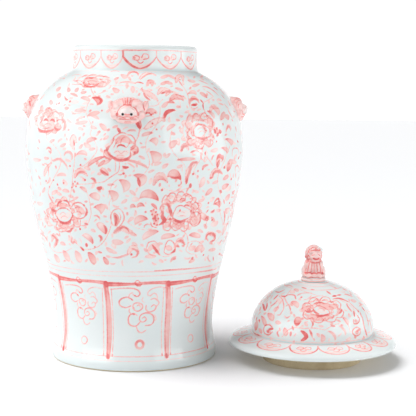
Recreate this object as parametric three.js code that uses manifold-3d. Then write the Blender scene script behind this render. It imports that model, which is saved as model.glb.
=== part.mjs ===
// Ginger jar of temple-jar form with its lid lying beside it: a thrown porcelain body
// in two luted sections with a separate neck collar and four sprigged lion-mask bosses,
// and a domed lid with a wide flange, a locating ring and a seated-lion finial.
// Millimetres, +Z up. The jar and the lid both stand on z = 0.
import * as THREE from 'three';
import Module from 'manifold-3d';
import { mergeVertices } from 'three/addons/utils/BufferGeometryUtils.js';

// ---------------------------------------------------------------- driving dimensions
const JAR_HEIGHT = 350;          // foot to rim
const BELLY_RADIUS = 122.3;      // widest point of the shoulder
const NECK_RADIUS = 69.6;        // outside of the collar
const NECK_BORE_RADIUS = 63.2;   // inside of the collar
const WALL = 5.6;                // thickness of the body wall
const FOOT_OUTER = 91.8;         // where the foot ring meets the table
const FOOT_INNER = 83.6;
const FOOT_RECESS = 5.5;         // depth of the recess inside the foot ring
const FLOOR_TOP = 12.5;          // inside floor of the jar
const SECTION_JOINT = 109.3;     // luted joint between lower and upper sections
const COLLAR_JOINT = 322.6;      // luted joint between shoulder and collar
const LUTE = 0.3;                // width left between two luted pieces

const LID_OFFSET_X = 203.4;      // lid axis measured from the jar axis
const LID_OFFSET_Y = -20.4;
const FLANGE_RADIUS = 94.4;
const RING_OUTER = 55.8;         // locating ring, loose inside the collar bore
const RING_INNER = 49.6;
const RING_DEPTH = 24.0;         // ring foot to flange seat
const DOME_BASE_RADIUS = 68.0;
const DOME_BASE_Z = 31.0;
const DOME_TOP_Z = 90.2;
const PLINTH_RADIUS = 13.6;
const PLINTH_TOP = 94.4;
const LION_TOP = 130.4;

const MASK_Z = 281.0;            // middle height of a lion mask
const MASK_REACH = 128.4;        // how far a snout stands from the jar axis
const MASK_ANGLES = { front: -90, right: 0, back: 90, left: 180 };

const SEGMENTS = 40;

// The row's origin is the middle of the whole set's footprint.
const SET_MIN_X = -MASK_REACH;
const SET_MAX_X = LID_OFFSET_X + FLANGE_RADIUS;
const JAR_X = -(SET_MIN_X + SET_MAX_X) / 2;
const LID_X = JAR_X + LID_OFFSET_X;
const LID_Y = LID_OFFSET_Y;

// ---------------------------------------------------------------- materials
const glaze = () => new THREE.MeshStandardMaterial({ color: 0xf3efee, roughness: 0.12, metalness: 0.0 });
const paintedGlaze = () => new THREE.MeshStandardMaterial({ color: 0xf0c3c0, roughness: 0.14, metalness: 0.0 });
const biscuit = () => new THREE.MeshStandardMaterial({ color: 0xcdbf9c, roughness: 0.85, metalness: 0.0 });

// ---------------------------------------------------------------- helpers
function turned(profile, segments = SEGMENTS) {
  const pts = profile.map(([r, z]) => new THREE.Vector2(r, z));
  if (profile[0][0] > 0.001) pts.push(pts[0].clone());
  const g = new THREE.LatheGeometry(pts, segments);
  g.rotateX(Math.PI / 2);
  return g;
}

// Position-only geometry with shared vertices and outward faces.
function welded(geometry) {
  const g = geometry.clone();
  g.deleteAttribute('normal');
  g.deleteAttribute('uv');
  const merged = mergeVertices(g, 1e-4);
  const index = Array.from(merged.index.array);
  const pos = merged.attributes.position.array;
  const keep = [];
  for (let i = 0; i < index.length; i += 3) {
    const [a, b, c] = [index[i], index[i + 1], index[i + 2]];
    if (a !== b && b !== c && a !== c) keep.push(a, b, c);
  }
  let volume = 0;
  for (let i = 0; i < keep.length; i += 3) {
    const [a, b, c] = [keep[i] * 3, keep[i + 1] * 3, keep[i + 2] * 3];
    volume += (pos[a] * (pos[b + 1] * pos[c + 2] - pos[b + 2] * pos[c + 1])
      - pos[a + 1] * (pos[b] * pos[c + 2] - pos[b + 2] * pos[c])
      + pos[a + 2] * (pos[b] * pos[c + 1] - pos[b + 1] * pos[c])) / 6;
  }
  if (volume < 0) {
    for (let i = 0; i < keep.length; i += 3) {
      const t = keep[i + 1];
      keep[i + 1] = keep[i + 2];
      keep[i + 2] = t;
    }
  }
  const out = new THREE.BufferGeometry();
  out.setAttribute('position', new THREE.BufferAttribute(Float32Array.from(pos), 3));
  out.setIndex(keep);
  return out;
}

function mesh(name, geometry, material) {
  const g = welded(geometry);
  g.computeVertexNormals();
  const m = new THREE.Mesh(g, material);
  m.name = name;
  return m;
}

const wasm = await Module();
wasm.setup();

function solid(geometry) {
  const g = welded(geometry);
  return new wasm.Manifold(new wasm.Mesh({
    numProp: 3,
    vertProperties: Float32Array.from(g.attributes.position.array),
    triVerts: Uint32Array.from(g.index.array),
  }));
}

function geometryOf(manifold) {
  const m = manifold.getMesh();
  const g = new THREE.BufferGeometry();
  const out = new Float32Array(m.vertProperties.length / m.numProp * 3);
  for (let i = 0; i < out.length / 3; i++) {
    for (let k = 0; k < 3; k++) out[i * 3 + k] = m.vertProperties[i * m.numProp + k];
  }
  g.setAttribute('position', new THREE.BufferAttribute(out, 3));
  g.setIndex(Array.from(m.triVerts));
  return g;
}

// An ellipsoid with its middle at (x, y, z), turned about X by tilt degrees.
function egg(x, y, z, rx, ry, rz, tilt = 0, wide = 14, high = 9) {
  const g = new THREE.SphereGeometry(1, wide, high);
  g.rotateX(Math.PI / 2);
  g.scale(rx, ry, rz);
  g.rotateX(THREE.MathUtils.degToRad(tilt));
  g.translate(x, y, z);
  return g;
}

const union = (list) => list.map(solid).reduce((a, b) => a.add(b));

// ---------------------------------------------------------------- jar body
// Outer silhouette as radius at height, foot to shoulder.
const OUTER = [
  [FOOT_OUTER, 0], [93.6, 1.4], [94.2, 4], [94.0, 9], [92.6, 16], [91.2, 24], [90.0, 35],
  [90.2, 48], [91.7, 63], [94.3, 80], [98.2, 100], [100.4, SECTION_JOINT],
  [102.9, 120], [108.8, 145], [114.1, 170], [118.6, 195], [121.5, 219],
  [BELLY_RADIUS, 238], [121.0, 256], [118.2, 271], [113.4, 284], [107.2, 294.5],
  [100.0, 303], [92.0, 310], [83.0, 316], [75.6, 320], [72.0, COLLAR_JOINT],
];
const radiusAt = (z) => {
  for (let i = 1; i < OUTER.length; i++) {
    const [r0, z0] = OUTER[i - 1];
    const [r1, z1] = OUTER[i];
    if (z <= z1) return r0 + (r1 - r0) * (z - z0) / (z1 - z0);
  }
  return OUTER[OUTER.length - 1][0];
};

// Lower section: foot ring, recessed base and the panelled wall.
const lowTop = SECTION_JOINT - LUTE / 2;
const lowerProfile = [
  [0, FOOT_RECESS], [FOOT_INNER - 2.2, FOOT_RECESS], [FOOT_INNER - 0.6, 2.0], [FOOT_INNER, 0],
  ...OUTER.filter(([, z]) => z < lowTop - 2),
  [radiusAt(lowTop), lowTop],
  [radiusAt(lowTop) - WALL, lowTop],
  [94.3 - WALL, 80], [90.2 - WALL, 50], [90.0 - WALL, 34], [82.4, 22], [76.5, 15.2], [66, FLOOR_TOP], [0, FLOOR_TOP],
];

// Upper section: belly and shoulder.
const upBottom = SECTION_JOINT + LUTE / 2;
const upperProfile = [
  [radiusAt(upBottom) - WALL, upBottom],
  [radiusAt(upBottom), upBottom],
  ...OUTER.filter(([, z]) => z > upBottom + 2 && z < COLLAR_JOINT - 1),
  [72.0, COLLAR_JOINT - LUTE / 2],
  [NECK_BORE_RADIUS, COLLAR_JOINT - LUTE / 2],
  [66.0, 318.4], [79.0, 310.8], [91.0, 301.6], [101.0, 290.0], [108.6, 277.6],
  [114.2, 261], [BELLY_RADIUS - WALL, 237], [115.2, 214], [109.6, 176.5], [102.2, 142],
];

// Neck collar: nearly cylindrical, with a rounded lip whose top is the lid's seat.
const collarBottom = COLLAR_JOINT + LUTE / 2;
const collarProfile = [
  [NECK_BORE_RADIUS, collarBottom],
  [71.8, collarBottom], [70.3, 325.6], [NECK_RADIUS, 329.5], [NECK_RADIUS, 344.4],
  [69.0, 347.6], [67.8, 349.5], [66.8, JAR_HEIGHT],
  [64.9, JAR_HEIGHT], [63.9, 349.3], [NECK_BORE_RADIUS, 347.2],
];

const jar = new THREE.Group();
jar.position.set(JAR_X, 0, 0);
jar.add(mesh('jar_lower_section', turned(lowerProfile), glaze()));
jar.add(mesh('jar_upper_section', turned(upperProfile), glaze()));
jar.add(mesh('neck_collar', turned(collarProfile), glaze()));

// ---------------------------------------------------------------- lion masks
// Each mask is modelled facing -Y at the jar's front, cut to the curve of the wall,
// then turned about the jar axis. The snout stands out furthest at mid height, the
// brow makes a shelf above it and the chin runs back into the wall.
const wallBlank = solid(turned([
  [0, 240],
  ...OUTER.filter(([, z]) => z > 230 && z < 318).map(([r, z]) => [r + LUTE, z]),
  [0, 318],
]));
const maskShape = union([
  egg(0, -110.0, MASK_Z + 0.6, 19.6, 12.4, 13.2, 0, 16, 9),       // skull and cheeks
  egg(-8.8, -115.4, MASK_Z + 6.6, 8.2, 7.4, 6.9, 0, 10, 6),       // left eye and brow
  egg(8.8, -115.4, MASK_Z + 6.6, 8.2, 7.4, 6.9, 0, 10, 6),        // right eye and brow
  egg(0, -119.8, MASK_Z - 0.6, 10.4, 8.6, 6.8, 0, 12, 7),         // snout
  egg(0, -116.2, MASK_Z - 8.0, 9.8, 6.6, 4.6, 0, 10, 6),          // lower jaw
  egg(-16.4, -110.0, MASK_Z + 5.0, 4.0, 6.0, 5.4, 0, 8, 5),       // left ear
  egg(16.4, -110.0, MASK_Z + 5.0, 4.0, 6.0, 5.4, 0, 8, 5),        // right ear
]).subtract(wallBlank);
const maskGeometry = geometryOf(maskShape);
for (const [side, angle] of Object.entries(MASK_ANGLES)) {
  const turnedGroup = new THREE.Group();
  turnedGroup.rotation.z = THREE.MathUtils.degToRad(angle + 90);
  turnedGroup.add(mesh(`lion_mask_${side}`, maskGeometry, paintedGlaze()));
  jar.add(turnedGroup);
}

// ---------------------------------------------------------------- lid
// Locating ring: the unglazed collar under the lid that drops inside the neck.
const ringProfile = [
  [RING_INNER, 0.8], [RING_INNER + 0.8, 0], [RING_OUTER - 1.0, 0], [RING_OUTER, 1.2],
  [RING_OUTER + 1.2, RING_DEPTH - LUTE],
  [RING_INNER - 0.4, RING_DEPTH - LUTE],
];

// Flange: a flat seat underneath, a raised rounded edge and a sloping top.
const flangeProfile = [
  [RING_INNER - 0.2, RING_DEPTH], [RING_OUTER + 2.0, RING_DEPTH], [81.0, RING_DEPTH], [86.5, 22.6], [91.2, 19.0], [93.0, 18.4],
  [FLANGE_RADIUS, 19.4], [FLANGE_RADIUS, 22.6], [92.8, 24.4], [86.0, 26.8], [76.0, 29.2],
  [DOME_BASE_RADIUS + 0.2, DOME_BASE_Z - LUTE], [60.5, DOME_BASE_Z - LUTE],
  [56.0, 28.8],
];

// Dome: a high rounded bell with a nearly flat crown.
const domeOuter = [
  [DOME_BASE_RADIUS, DOME_BASE_Z], [69.2, 35], [69.0, 41], [67.4, 48], [64.0, 56.5], [59.0, 64.5], [52.5, 71.8],
  [44.0, 78.6], [34.0, 83.9], [24.0, 87.2], [14.0, 89.4], [PLINTH_RADIUS, 89.6], [0, 89.6],
];
const domeInner = [
  [0, 83.8], [14.0, 83.4], [23.0, 81.4], [32.0, 78.2], [41.0, 73.4], [49.0, 67.0], [55.0, 60.2],
  [59.8, 52.4], [62.8, 44.6], [63.8, 38], [62.4, DOME_BASE_Z],
];
const lid = new THREE.Group();
lid.position.set(LID_X, LID_Y, 0);
lid.add(mesh('lid_locating_ring', turned(ringProfile), biscuit()));
lid.add(mesh('lid_flange', turned(flangeProfile), glaze()));
lid.add(mesh('lid_dome', turned([...domeInner, ...domeOuter]), glaze()));

// Plinth: the low pad that the lion sits on.
lid.add(mesh('finial_plinth', turned([
  [0, 89.6 + LUTE], [PLINTH_RADIUS - 0.2, 89.6 + LUTE], [PLINTH_RADIUS + 0.3, 91.4], [PLINTH_RADIUS - 0.3, PLINTH_TOP - 0.8],
  [PLINTH_RADIUS - 1.4, PLINTH_TOP], [0, PLINTH_TOP],
], 28), paintedGlaze()));

// Seated lion: haunches, upright chest on two straight forelegs, and a round maned head.
const lionBase = PLINTH_TOP + LUTE;
const floorBlank = new THREE.BoxGeometry(60, 60, 30);
floorBlank.translate(0, 0, lionBase - 15);
const lionShape = union([
  egg(0, 1.6, 103.5, 10.6, 9.6, 12.0, 0, 12, 8),                  // barrel of the body
  egg(0, -0.6, 110.0, 9.2, 8.2, 10.5, -6, 12, 8),                 // chest and neck
  egg(-7.6, 2.0, 98.6, 5.4, 8.2, 6.4, 0, 8, 6),                   // left haunch
  egg(7.6, 2.0, 98.6, 5.4, 8.2, 6.4, 0, 8, 6),                    // right haunch
  egg(-5.2, -6.6, 101.0, 3.1, 3.2, 9.4, 4, 8, 6),                 // left foreleg
  egg(5.2, -6.6, 101.0, 3.1, 3.2, 9.4, 4, 8, 6),                  // right foreleg
  egg(-5.4, -8.8, 96.2, 3.3, 3.8, 2.6, 0, 8, 5),                  // left paw
  egg(5.4, -8.8, 96.2, 3.3, 3.8, 2.6, 0, 8, 5),                   // right paw
  egg(0, 0.2, LION_TOP - 10.8, 10.4, 9.8, 10.8, 0, 14, 9),        // maned head
  egg(0, -7.6, LION_TOP - 12.2, 5.8, 4.6, 4.4, 0, 10, 6),         // muzzle
]).subtract(solid(floorBlank));
lid.add(mesh('finial_lion', geometryOf(lionShape), paintedGlaze()));

const set = new THREE.Group();
set.add(jar);
set.add(lid);
export default set;
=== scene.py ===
# Ginger jar with its lid lying beside it: hand-painted porcelain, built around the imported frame.
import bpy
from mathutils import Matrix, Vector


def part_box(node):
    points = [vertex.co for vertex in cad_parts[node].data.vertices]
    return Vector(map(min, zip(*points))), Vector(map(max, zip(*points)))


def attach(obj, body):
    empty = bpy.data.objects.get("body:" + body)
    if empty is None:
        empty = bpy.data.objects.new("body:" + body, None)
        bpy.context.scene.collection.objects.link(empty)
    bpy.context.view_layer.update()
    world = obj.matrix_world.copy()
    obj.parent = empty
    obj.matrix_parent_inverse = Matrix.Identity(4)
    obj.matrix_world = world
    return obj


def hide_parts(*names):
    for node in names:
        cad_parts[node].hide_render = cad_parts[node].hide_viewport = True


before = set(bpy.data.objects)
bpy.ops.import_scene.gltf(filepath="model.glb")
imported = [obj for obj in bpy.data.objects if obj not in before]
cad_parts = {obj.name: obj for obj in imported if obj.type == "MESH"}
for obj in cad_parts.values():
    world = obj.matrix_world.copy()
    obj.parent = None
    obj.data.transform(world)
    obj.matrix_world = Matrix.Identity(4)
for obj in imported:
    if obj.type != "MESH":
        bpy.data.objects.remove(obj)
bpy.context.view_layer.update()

import math

import bpy
import numpy as np
from mathutils import Matrix, Vector

MM = 0.001


def middle(node):
    lo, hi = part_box(node)
    return ((lo[0] + hi[0]) / 2, (lo[1] + hi[1]) / 2)


JX, JY = middle("neck_collar")      # the jar's axis, metres
LX, LY = middle("lid_flange")       # the lid's axis, metres

# ------------------------------------------------------------------ camera
# Focal length in frame widths, pitch down and roll, and the place measured from the jar's axis (mm).
FOCAL = 1151.73 / 416.0
PITCH, ROLL = 0.11085, 0.01077
CAM = np.array([83.58, -1305.38, 313.77])
RIGHT = np.array([1.0, 0.0, 0.0])
UP = np.array([0.0, math.sin(PITCH), math.cos(PITCH)])
FORWARD = np.array([0.0, math.cos(PITCH), -math.sin(PITCH)])

scene = bpy.context.scene
cam_data = bpy.data.cameras.new("view")
cam_data.sensor_width = 36.0
cam_data.lens = FOCAL * 36.0
cam_data.clip_end = 50
cam = bpy.data.objects.new("view", cam_data)
scene.collection.objects.link(cam)
cr, sr = math.cos(ROLL), math.sin(ROLL)
cx = RIGHT * cr + UP * sr
cy = -RIGHT * sr + UP * cr
cz = -FORWARD
m = Matrix.Identity(4)
for i in range(3):
    m[i][0], m[i][1], m[i][2] = cx[i], cy[i], cz[i]
m[0][3] = JX + CAM[0] * MM
m[1][3] = JY + CAM[1] * MM
m[2][3] = CAM[2] * MM
cam.matrix_world = m
scene.camera = cam


def rays(uv):
    """Unit view rays through frame points (u, v), 416 to the frame's width, v down."""
    uv = np.asarray(uv, float).reshape(-1, 2)
    a, b = (uv[:, 0] - 208.0) / 416.0, (uv[:, 1] - 208.0) / 416.0
    h = a * cr + b * sr
    w = -a * sr + b * cr
    d = FORWARD[None] + RIGHT[None] * (h / FOCAL)[:, None] - UP[None] * (w / FOCAL)[:, None]
    return d / np.linalg.norm(d, axis=1)[:, None]


# ------------------------------------------------------------------ turned profiles (mm)
def smooth(points, step):
    """Centripetal Catmull-Rom through (r, z) points, resampled at about the step."""
    p = np.asarray(points, float)
    if len(p) > 2:
        ext = np.vstack([2 * p[0] - p[1], p, 2 * p[-1] - p[-2]])
        out = []
        for k in range(1, len(ext) - 2):
            p0, p1, p2, p3 = ext[k - 1:k + 3]
            t0 = 0.0
            t1 = t0 + max(np.linalg.norm(p1 - p0), 1e-6) ** 0.5
            t2 = t1 + max(np.linalg.norm(p2 - p1), 1e-6) ** 0.5
            t3 = t2 + max(np.linalg.norm(p3 - p2), 1e-6) ** 0.5
            t = np.linspace(t1, t2, 16, endpoint=False)[:, None]
            a1 = (t1 - t) / (t1 - t0) * p0 + (t - t0) / (t1 - t0) * p1
            a2 = (t2 - t) / (t2 - t1) * p1 + (t - t1) / (t2 - t1) * p2
            a3 = (t3 - t) / (t3 - t2) * p2 + (t - t2) / (t3 - t2) * p3
            b1 = (t2 - t) / (t2 - t0) * a1 + (t - t0) / (t2 - t0) * a2
            b2 = (t3 - t) / (t3 - t1) * a2 + (t - t1) / (t3 - t1) * a3
            out.append((t2 - t) / (t2 - t1) * b1 + (t - t1) / (t2 - t1) * b2)
        out.append(p[-1][None])
        p = np.vstack(out)
    s = np.concatenate([[0], np.cumsum(np.linalg.norm(np.diff(p, axis=0), axis=1))])
    n = max(2, int(round(s[-1] / step)) + 1)
    q = np.linspace(0, s[-1], n)
    return np.stack([np.interp(q, s, p[:, 0]), np.interp(q, s, p[:, 1])], axis=1)


def join(*parts):
    out = [np.asarray(parts[0], float)]
    for part in parts[1:]:
        part = np.asarray(part, float)
        if np.linalg.norm(part[0] - out[-1][-1]) < 1e-6:
            part = part[1:]
        out.append(part)
    return np.vstack(out)


SEAM = 109.3      # lower and upper sections meet under the painted double line
NECK = 322.6      # shoulder meets collar
WALL_PTS = [
    (91.8, 0.0), (93.0, 0.7), (93.9, 2.2), (94.2, 4.6), (94.0, 9), (92.6, 16), (91.2, 24), (90.0, 35),
    (90.2, 48), (91.7, 63), (94.3, 80), (98.2, 100), (100.4, SEAM),
    (102.9, 120), (108.8, 145), (114.1, 170), (118.6, 195), (121.5, 219),
    (122.3, 238), (121.0, 256), (118.2, 271), (113.4, 284), (107.2, 294.5),
    (100.0, 303), (92.0, 310), (83.0, 316), (76.6, 319.4), (72.6, 321.6), (71.1, NECK),
]
COLLAR_PTS = [(71.1, NECK), (70.4, 324.4), (69.7, 328.5), (69.6, 335), (69.6, 343.6), (69.3, 346.4), (68.4, 348.8), (67.0, 349.85), (65.8, 350.0)]
WALL = smooth(WALL_PTS, 0.5)
COLLAR = smooth(COLLAR_PTS, 0.4)
JAR_SIDE = join(WALL, COLLAR)

DOME_PTS = [(68.0, 31.0), (69.0, 34.6), (69.1, 40), (67.7, 47.6), (64.4, 56.0), (59.2, 64.4), (52.5, 71.8),
            (44.0, 78.6), (34.0, 83.9), (24.0, 87.2), (14.0, 89.3), (7.0, 89.6), (0.0, 89.6)]
FLANGE_PTS = [(93.0, 18.4), (94.2, 19.3), (94.6, 20.9), (94.2, 22.8), (92.4, 24.5), (86.0, 26.8), (76.0, 29.3), (70.4, 30.6), (68.0, 31.0)]
DOME = smooth(DOME_PTS, 0.4)
FLANGE = smooth(FLANGE_PTS, 0.4)


def march(uv, side, offset, t0, t1, along="z"):
    """Where the rays through uv first meet a turned surface; a ray that misses takes its nearest point."""
    d = rays(uv)
    o = CAM - np.array([offset[0], offset[1], 0.0])
    if along == "z":
        zs, rs = side[:, 1], side[:, 0]
        gap = lambda p: np.hypot(p[..., 0], p[..., 1]) - np.interp(p[..., 2], zs, rs)
    else:
        order = np.argsort(side[:, 0])
        rr, zz = side[order, 0], side[order, 1]
        gap = lambda p: p[..., 2] - np.interp(np.hypot(p[..., 0], p[..., 1]), rr, zz)
    ts = np.linspace(t0, t1, 240)
    p = o[None, None] + d[:, None] * ts[None, :, None]
    g = gap(p)
    hit = g < 0
    met = hit.any(1)
    first = np.where(met, hit.argmax(1), g.argmin(1))
    a, b = ts[np.maximum(first - 1, 0)], ts[first]
    for _ in range(16):
        c = (a + b) / 2
        inside = gap(o[None] + d * c[:, None]) < 0
        a, b = np.where(inside, a, c), np.where(inside, c, b)
    q = o[None] + d * np.where(met, b, ts[first])[:, None]
    if along == "z":
        r = np.hypot(q[:, 0], q[:, 1])
        k = np.where(met, 1.0, np.interp(q[:, 2], side[:, 1], side[:, 0]) / np.maximum(r, 1e-6))
        q[:, 0] *= k
        q[:, 1] *= k
    return q


LID_AT = ((LX - JX) / MM, (LY - JY) / MM)


def on_jar(uv):
    return march(uv, JAR_SIDE, (0, 0), 1120, 1420)


def on_dome(uv):
    return march(uv, DOME, LID_AT, 1180, 1420)


def on_flange(uv):
    return march(uv, FLANGE[12:], LID_AT, 1180, 1460, along="r")

# ------------------------------------------------------------------ painting on vertices
# Each painted surface carries the signed distance (mm) to the nearest brush line and to the nearest
# wash, with that stroke's ink density, so an edge stays crisp between vertices.
FAR = 6.0


class Canvas:
    """A cloud of surface points (mm, in the jar's or the lid's own axis frame) that strokes are brushed on."""

    def __init__(self, points, grid=None):
        self.p = np.asarray(points, np.float32)
        self.grid = grid                        # (rows, columns) where the points are a turned grid
        n = len(self.p)
        self.d = {"line": np.full(n, FAR, np.float32), "wash": np.full(n, FAR, np.float32)}
        self.a = {"line": np.zeros(n, np.float32), "wash": np.zeros(n, np.float32)}
        if grid:
            rows, cols = grid
            p = self.p.reshape(rows, cols, 3)
            self.row_z, self.row_r = p[:, 0, 2], np.hypot(p[:, 0, 0], p[:, 0, 1])
            self.index = np.arange(n).reshape(rows, cols)

    def near(self, pts, reach):
        if not self.grid:
            lo, hi = pts.min(0) - reach, pts.max(0) + reach
            return np.nonzero(((self.p > lo) & (self.p < hi)).all(1))[0]
        rows, cols = self.grid
        z, r = pts[:, 2], np.hypot(pts[:, 0], pts[:, 1])
        row = np.nonzero((self.row_z > z.min() - reach) & (self.row_z < z.max() + reach)
                         & (self.row_r > r.min() - reach - 1.5) & (self.row_r < r.max() + reach + 1.5))[0]
        if len(row) == 0:
            return row
        phi = np.unwrap(np.arctan2(pts[:, 0], -pts[:, 1]))
        pad = reach / max(r.min(), 4.0)
        a, b = phi.min() - pad, phi.max() + pad
        if b - a >= 2 * math.pi * 0.98:
            return self.index[row].ravel()
        j0, j1 = math.floor(a / (2 * math.pi) * cols), math.ceil(b / (2 * math.pi) * cols)
        col = np.arange(j0, j1 + 1) % cols
        return self.index[np.ix_(row, col)].ravel()

    def brush(self, layer, pts, width, ink, hollow=None):
        """One stroke along pts with half-widths and ink densities along it. hollow: draw only the edge, this half-width."""
        pts = np.asarray(pts, np.float32)
        n = len(pts)
        width = np.broadcast_to(np.asarray(width, np.float32), (n,))
        ink = np.broadcast_to(np.asarray(ink, np.float32), (n,))
        reach = float(width.max()) + 2.0
        idx = self.near(pts, reach)
        if len(idx) == 0:
            return
        q = self.p[idx]
        best = np.full(len(idx), 1e9, np.float32)
        tone = np.zeros(len(idx), np.float32)
        for k in range(n - 1):
            a, b = pts[k], pts[k + 1]
            ab = b - a
            L = float(ab @ ab)
            t = np.clip(((q - a) @ ab) / L, 0, 1) if L > 1e-9 else np.zeros(len(q), np.float32)
            dist = np.linalg.norm(q - (a + t[:, None] * ab), axis=1) - (width[k] + t * (width[k + 1] - width[k]))
            better = dist < best
            best[better] = dist[better]
            tone[better] = (ink[k] + t * (ink[k + 1] - ink[k]))[better]
        if hollow is not None:
            best = np.abs(best) - hollow
        self.put(layer, idx, best, tone)

    def area(self, layer, outer, inner, ink, pale):
        """A leaf between two edges that share both ends: dark at the first end and along the inner edge, pale in the belly."""
        edge = np.vstack([outer, inner[::-1][1:]]).astype(np.float32)
        centre = edge.mean(0)
        axes = np.linalg.svd(edge - centre, full_matrices=False)[2]
        idx = self.near(edge, 2.5)
        if len(idx) == 0:
            return
        rel = self.p[idx] - centre
        keep = np.abs(rel @ axes[2]) < 9.0
        idx, rel = idx[keep], rel[keep]
        q, e = rel @ axes[:2].T, (edge - centre) @ axes[:2].T
        n_outer = len(outer) - 1
        near_o, near_i = np.full(len(q), 1e9, np.float32), np.full(len(q), 1e9, np.float32)
        inside = np.zeros(len(q), bool)
        for k in range(len(e) - 1):
            a, b = e[k], e[k + 1]
            ab = b - a
            t = np.clip(((q - a) @ ab) / max(float(ab @ ab), 1e-9), 0, 1)
            dist = np.linalg.norm(q - (a + t[:, None] * ab), axis=1)
            if k < n_outer:
                near_o = np.minimum(near_o, dist)
            else:
                near_i = np.minimum(near_i, dist)
            if abs(ab[1]) > 1e-9:
                cross = ((a[1] > q[:, 1]) != (b[1] > q[:, 1])) & (q[:, 0] < a[0] + (q[:, 1] - a[1]) * ab[0] / ab[1])
                inside ^= cross
        dist = np.where(inside, -1.0, 1.0) * np.minimum(near_o, near_i)
        run = e[n_outer] - e[0]
        t = np.clip(((q - e[0]) @ run) / max(float(run @ run), 1e-9), 0, 1)
        dark = np.maximum(np.clip(1.05 - 1.5 * t, 0, 1), np.clip(1 - near_i / 2.6, 0, 1) * (0.80 - 0.35 * t))
        dark = np.maximum(dark, np.clip(1 - near_o / 1.2, 0, 1) * 0.34)
        self.put(layer, idx, dist.astype(np.float32), (ink * (pale + (1 - pale) * dark)).astype(np.float32))

    def put(self, layer, idx, dist, tone):
        old = self.d[layer][idx]
        better = dist < old
        # Where both strokes cover a point, the darker ink stays.
        both = (dist < 0) & (old < 0)
        a = self.a[layer][idx]
        a2 = np.where(better, tone, a)
        a2 = np.where(both, np.maximum(tone, a), a2)
        self.a[layer][idx] = a2
        self.d[layer][idx] = np.where(better, dist, old)


def bezier(points, n=12):
    """A smooth run through 2, 3 or more frame points: straight, quadratic, or Catmull-Rom."""
    p = np.asarray(points, float)
    if len(p) == 2:
        t = np.linspace(0, 1, max(n // 2, 2))[:, None]
        return p[0] * (1 - t) + p[1] * t
    if len(p) == 3:
        t = np.linspace(0, 1, n)[:, None]
        mid = 2 * p[1] - (p[0] + p[2]) / 2
        return p[0] * (1 - t) ** 2 + mid * 2 * t * (1 - t) + p[2] * t ** 2
    ext = np.vstack([2 * p[0] - p[1], p, 2 * p[-1] - p[-2]])
    out = []
    per = max(3, n // (len(p) - 1))
    for k in range(1, len(ext) - 2):
        p0, p1, p2, p3 = ext[k - 1:k + 3]
        t = np.linspace(0, 1, per, endpoint=False)[:, None]
        out.append(0.5 * ((2 * p1) + (-p0 + p2) * t + (2 * p0 - 5 * p1 + 4 * p2 - p3) * t ** 2 + (-p0 + 3 * p1 - 3 * p2 + p3) * t ** 3))
    out.append(p[-1][None])
    return np.vstack(out)


def turn(pts, degrees):
    c, s = math.cos(math.radians(degrees)), math.sin(math.radians(degrees))
    p = np.array(pts, float)
    x, y = p[:, 0].copy(), p[:, 1].copy()
    p[:, 0], p[:, 1] = x * c - y * s, x * s + y * c
    return p


# ------------------------------------------------------------------ meshes
def new_object(name, verts_mm, faces, axis, smooth_shade=True):
    """verts in mm about an axis at (x, y) metres; faces as an (n, 3 or 4) array or a list of such arrays."""
    v = np.asarray(verts_mm, np.float64) * MM
    v[:, 0] += axis[0]
    v[:, 1] += axis[1]
    if not isinstance(faces, list):
        faces = [faces]
    loops = np.concatenate([f.ravel() for f in faces]).astype(np.int32)
    sizes = np.concatenate([np.full(len(f), f.shape[1], np.int32) for f in faces])
    starts = np.concatenate([[0], np.cumsum(sizes)[:-1]]).astype(np.int32)
    me = bpy.data.meshes.new(name)
    me.vertices.add(len(v))
    me.vertices.foreach_set("co", v.ravel())
    me.loops.add(len(loops))
    me.loops.foreach_set("vertex_index", loops)
    me.polygons.add(len(sizes))
    me.polygons.foreach_set("loop_start", starts)
    me.polygons.foreach_set("loop_total", sizes)
    me.polygons.foreach_set("use_smooth", np.full(len(sizes), smooth_shade, bool))
    me.update(calc_edges=True)
    me.validate()
    ob = bpy.data.objects.new(name, me)
    scene.collection.objects.link(ob)
    return ob


def attribute(ob, name, values):
    at = ob.data.attributes.get(name) or ob.data.attributes.new(name, "FLOAT", "POINT")
    at.data.foreach_set("value", np.asarray(values, np.float32))


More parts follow.
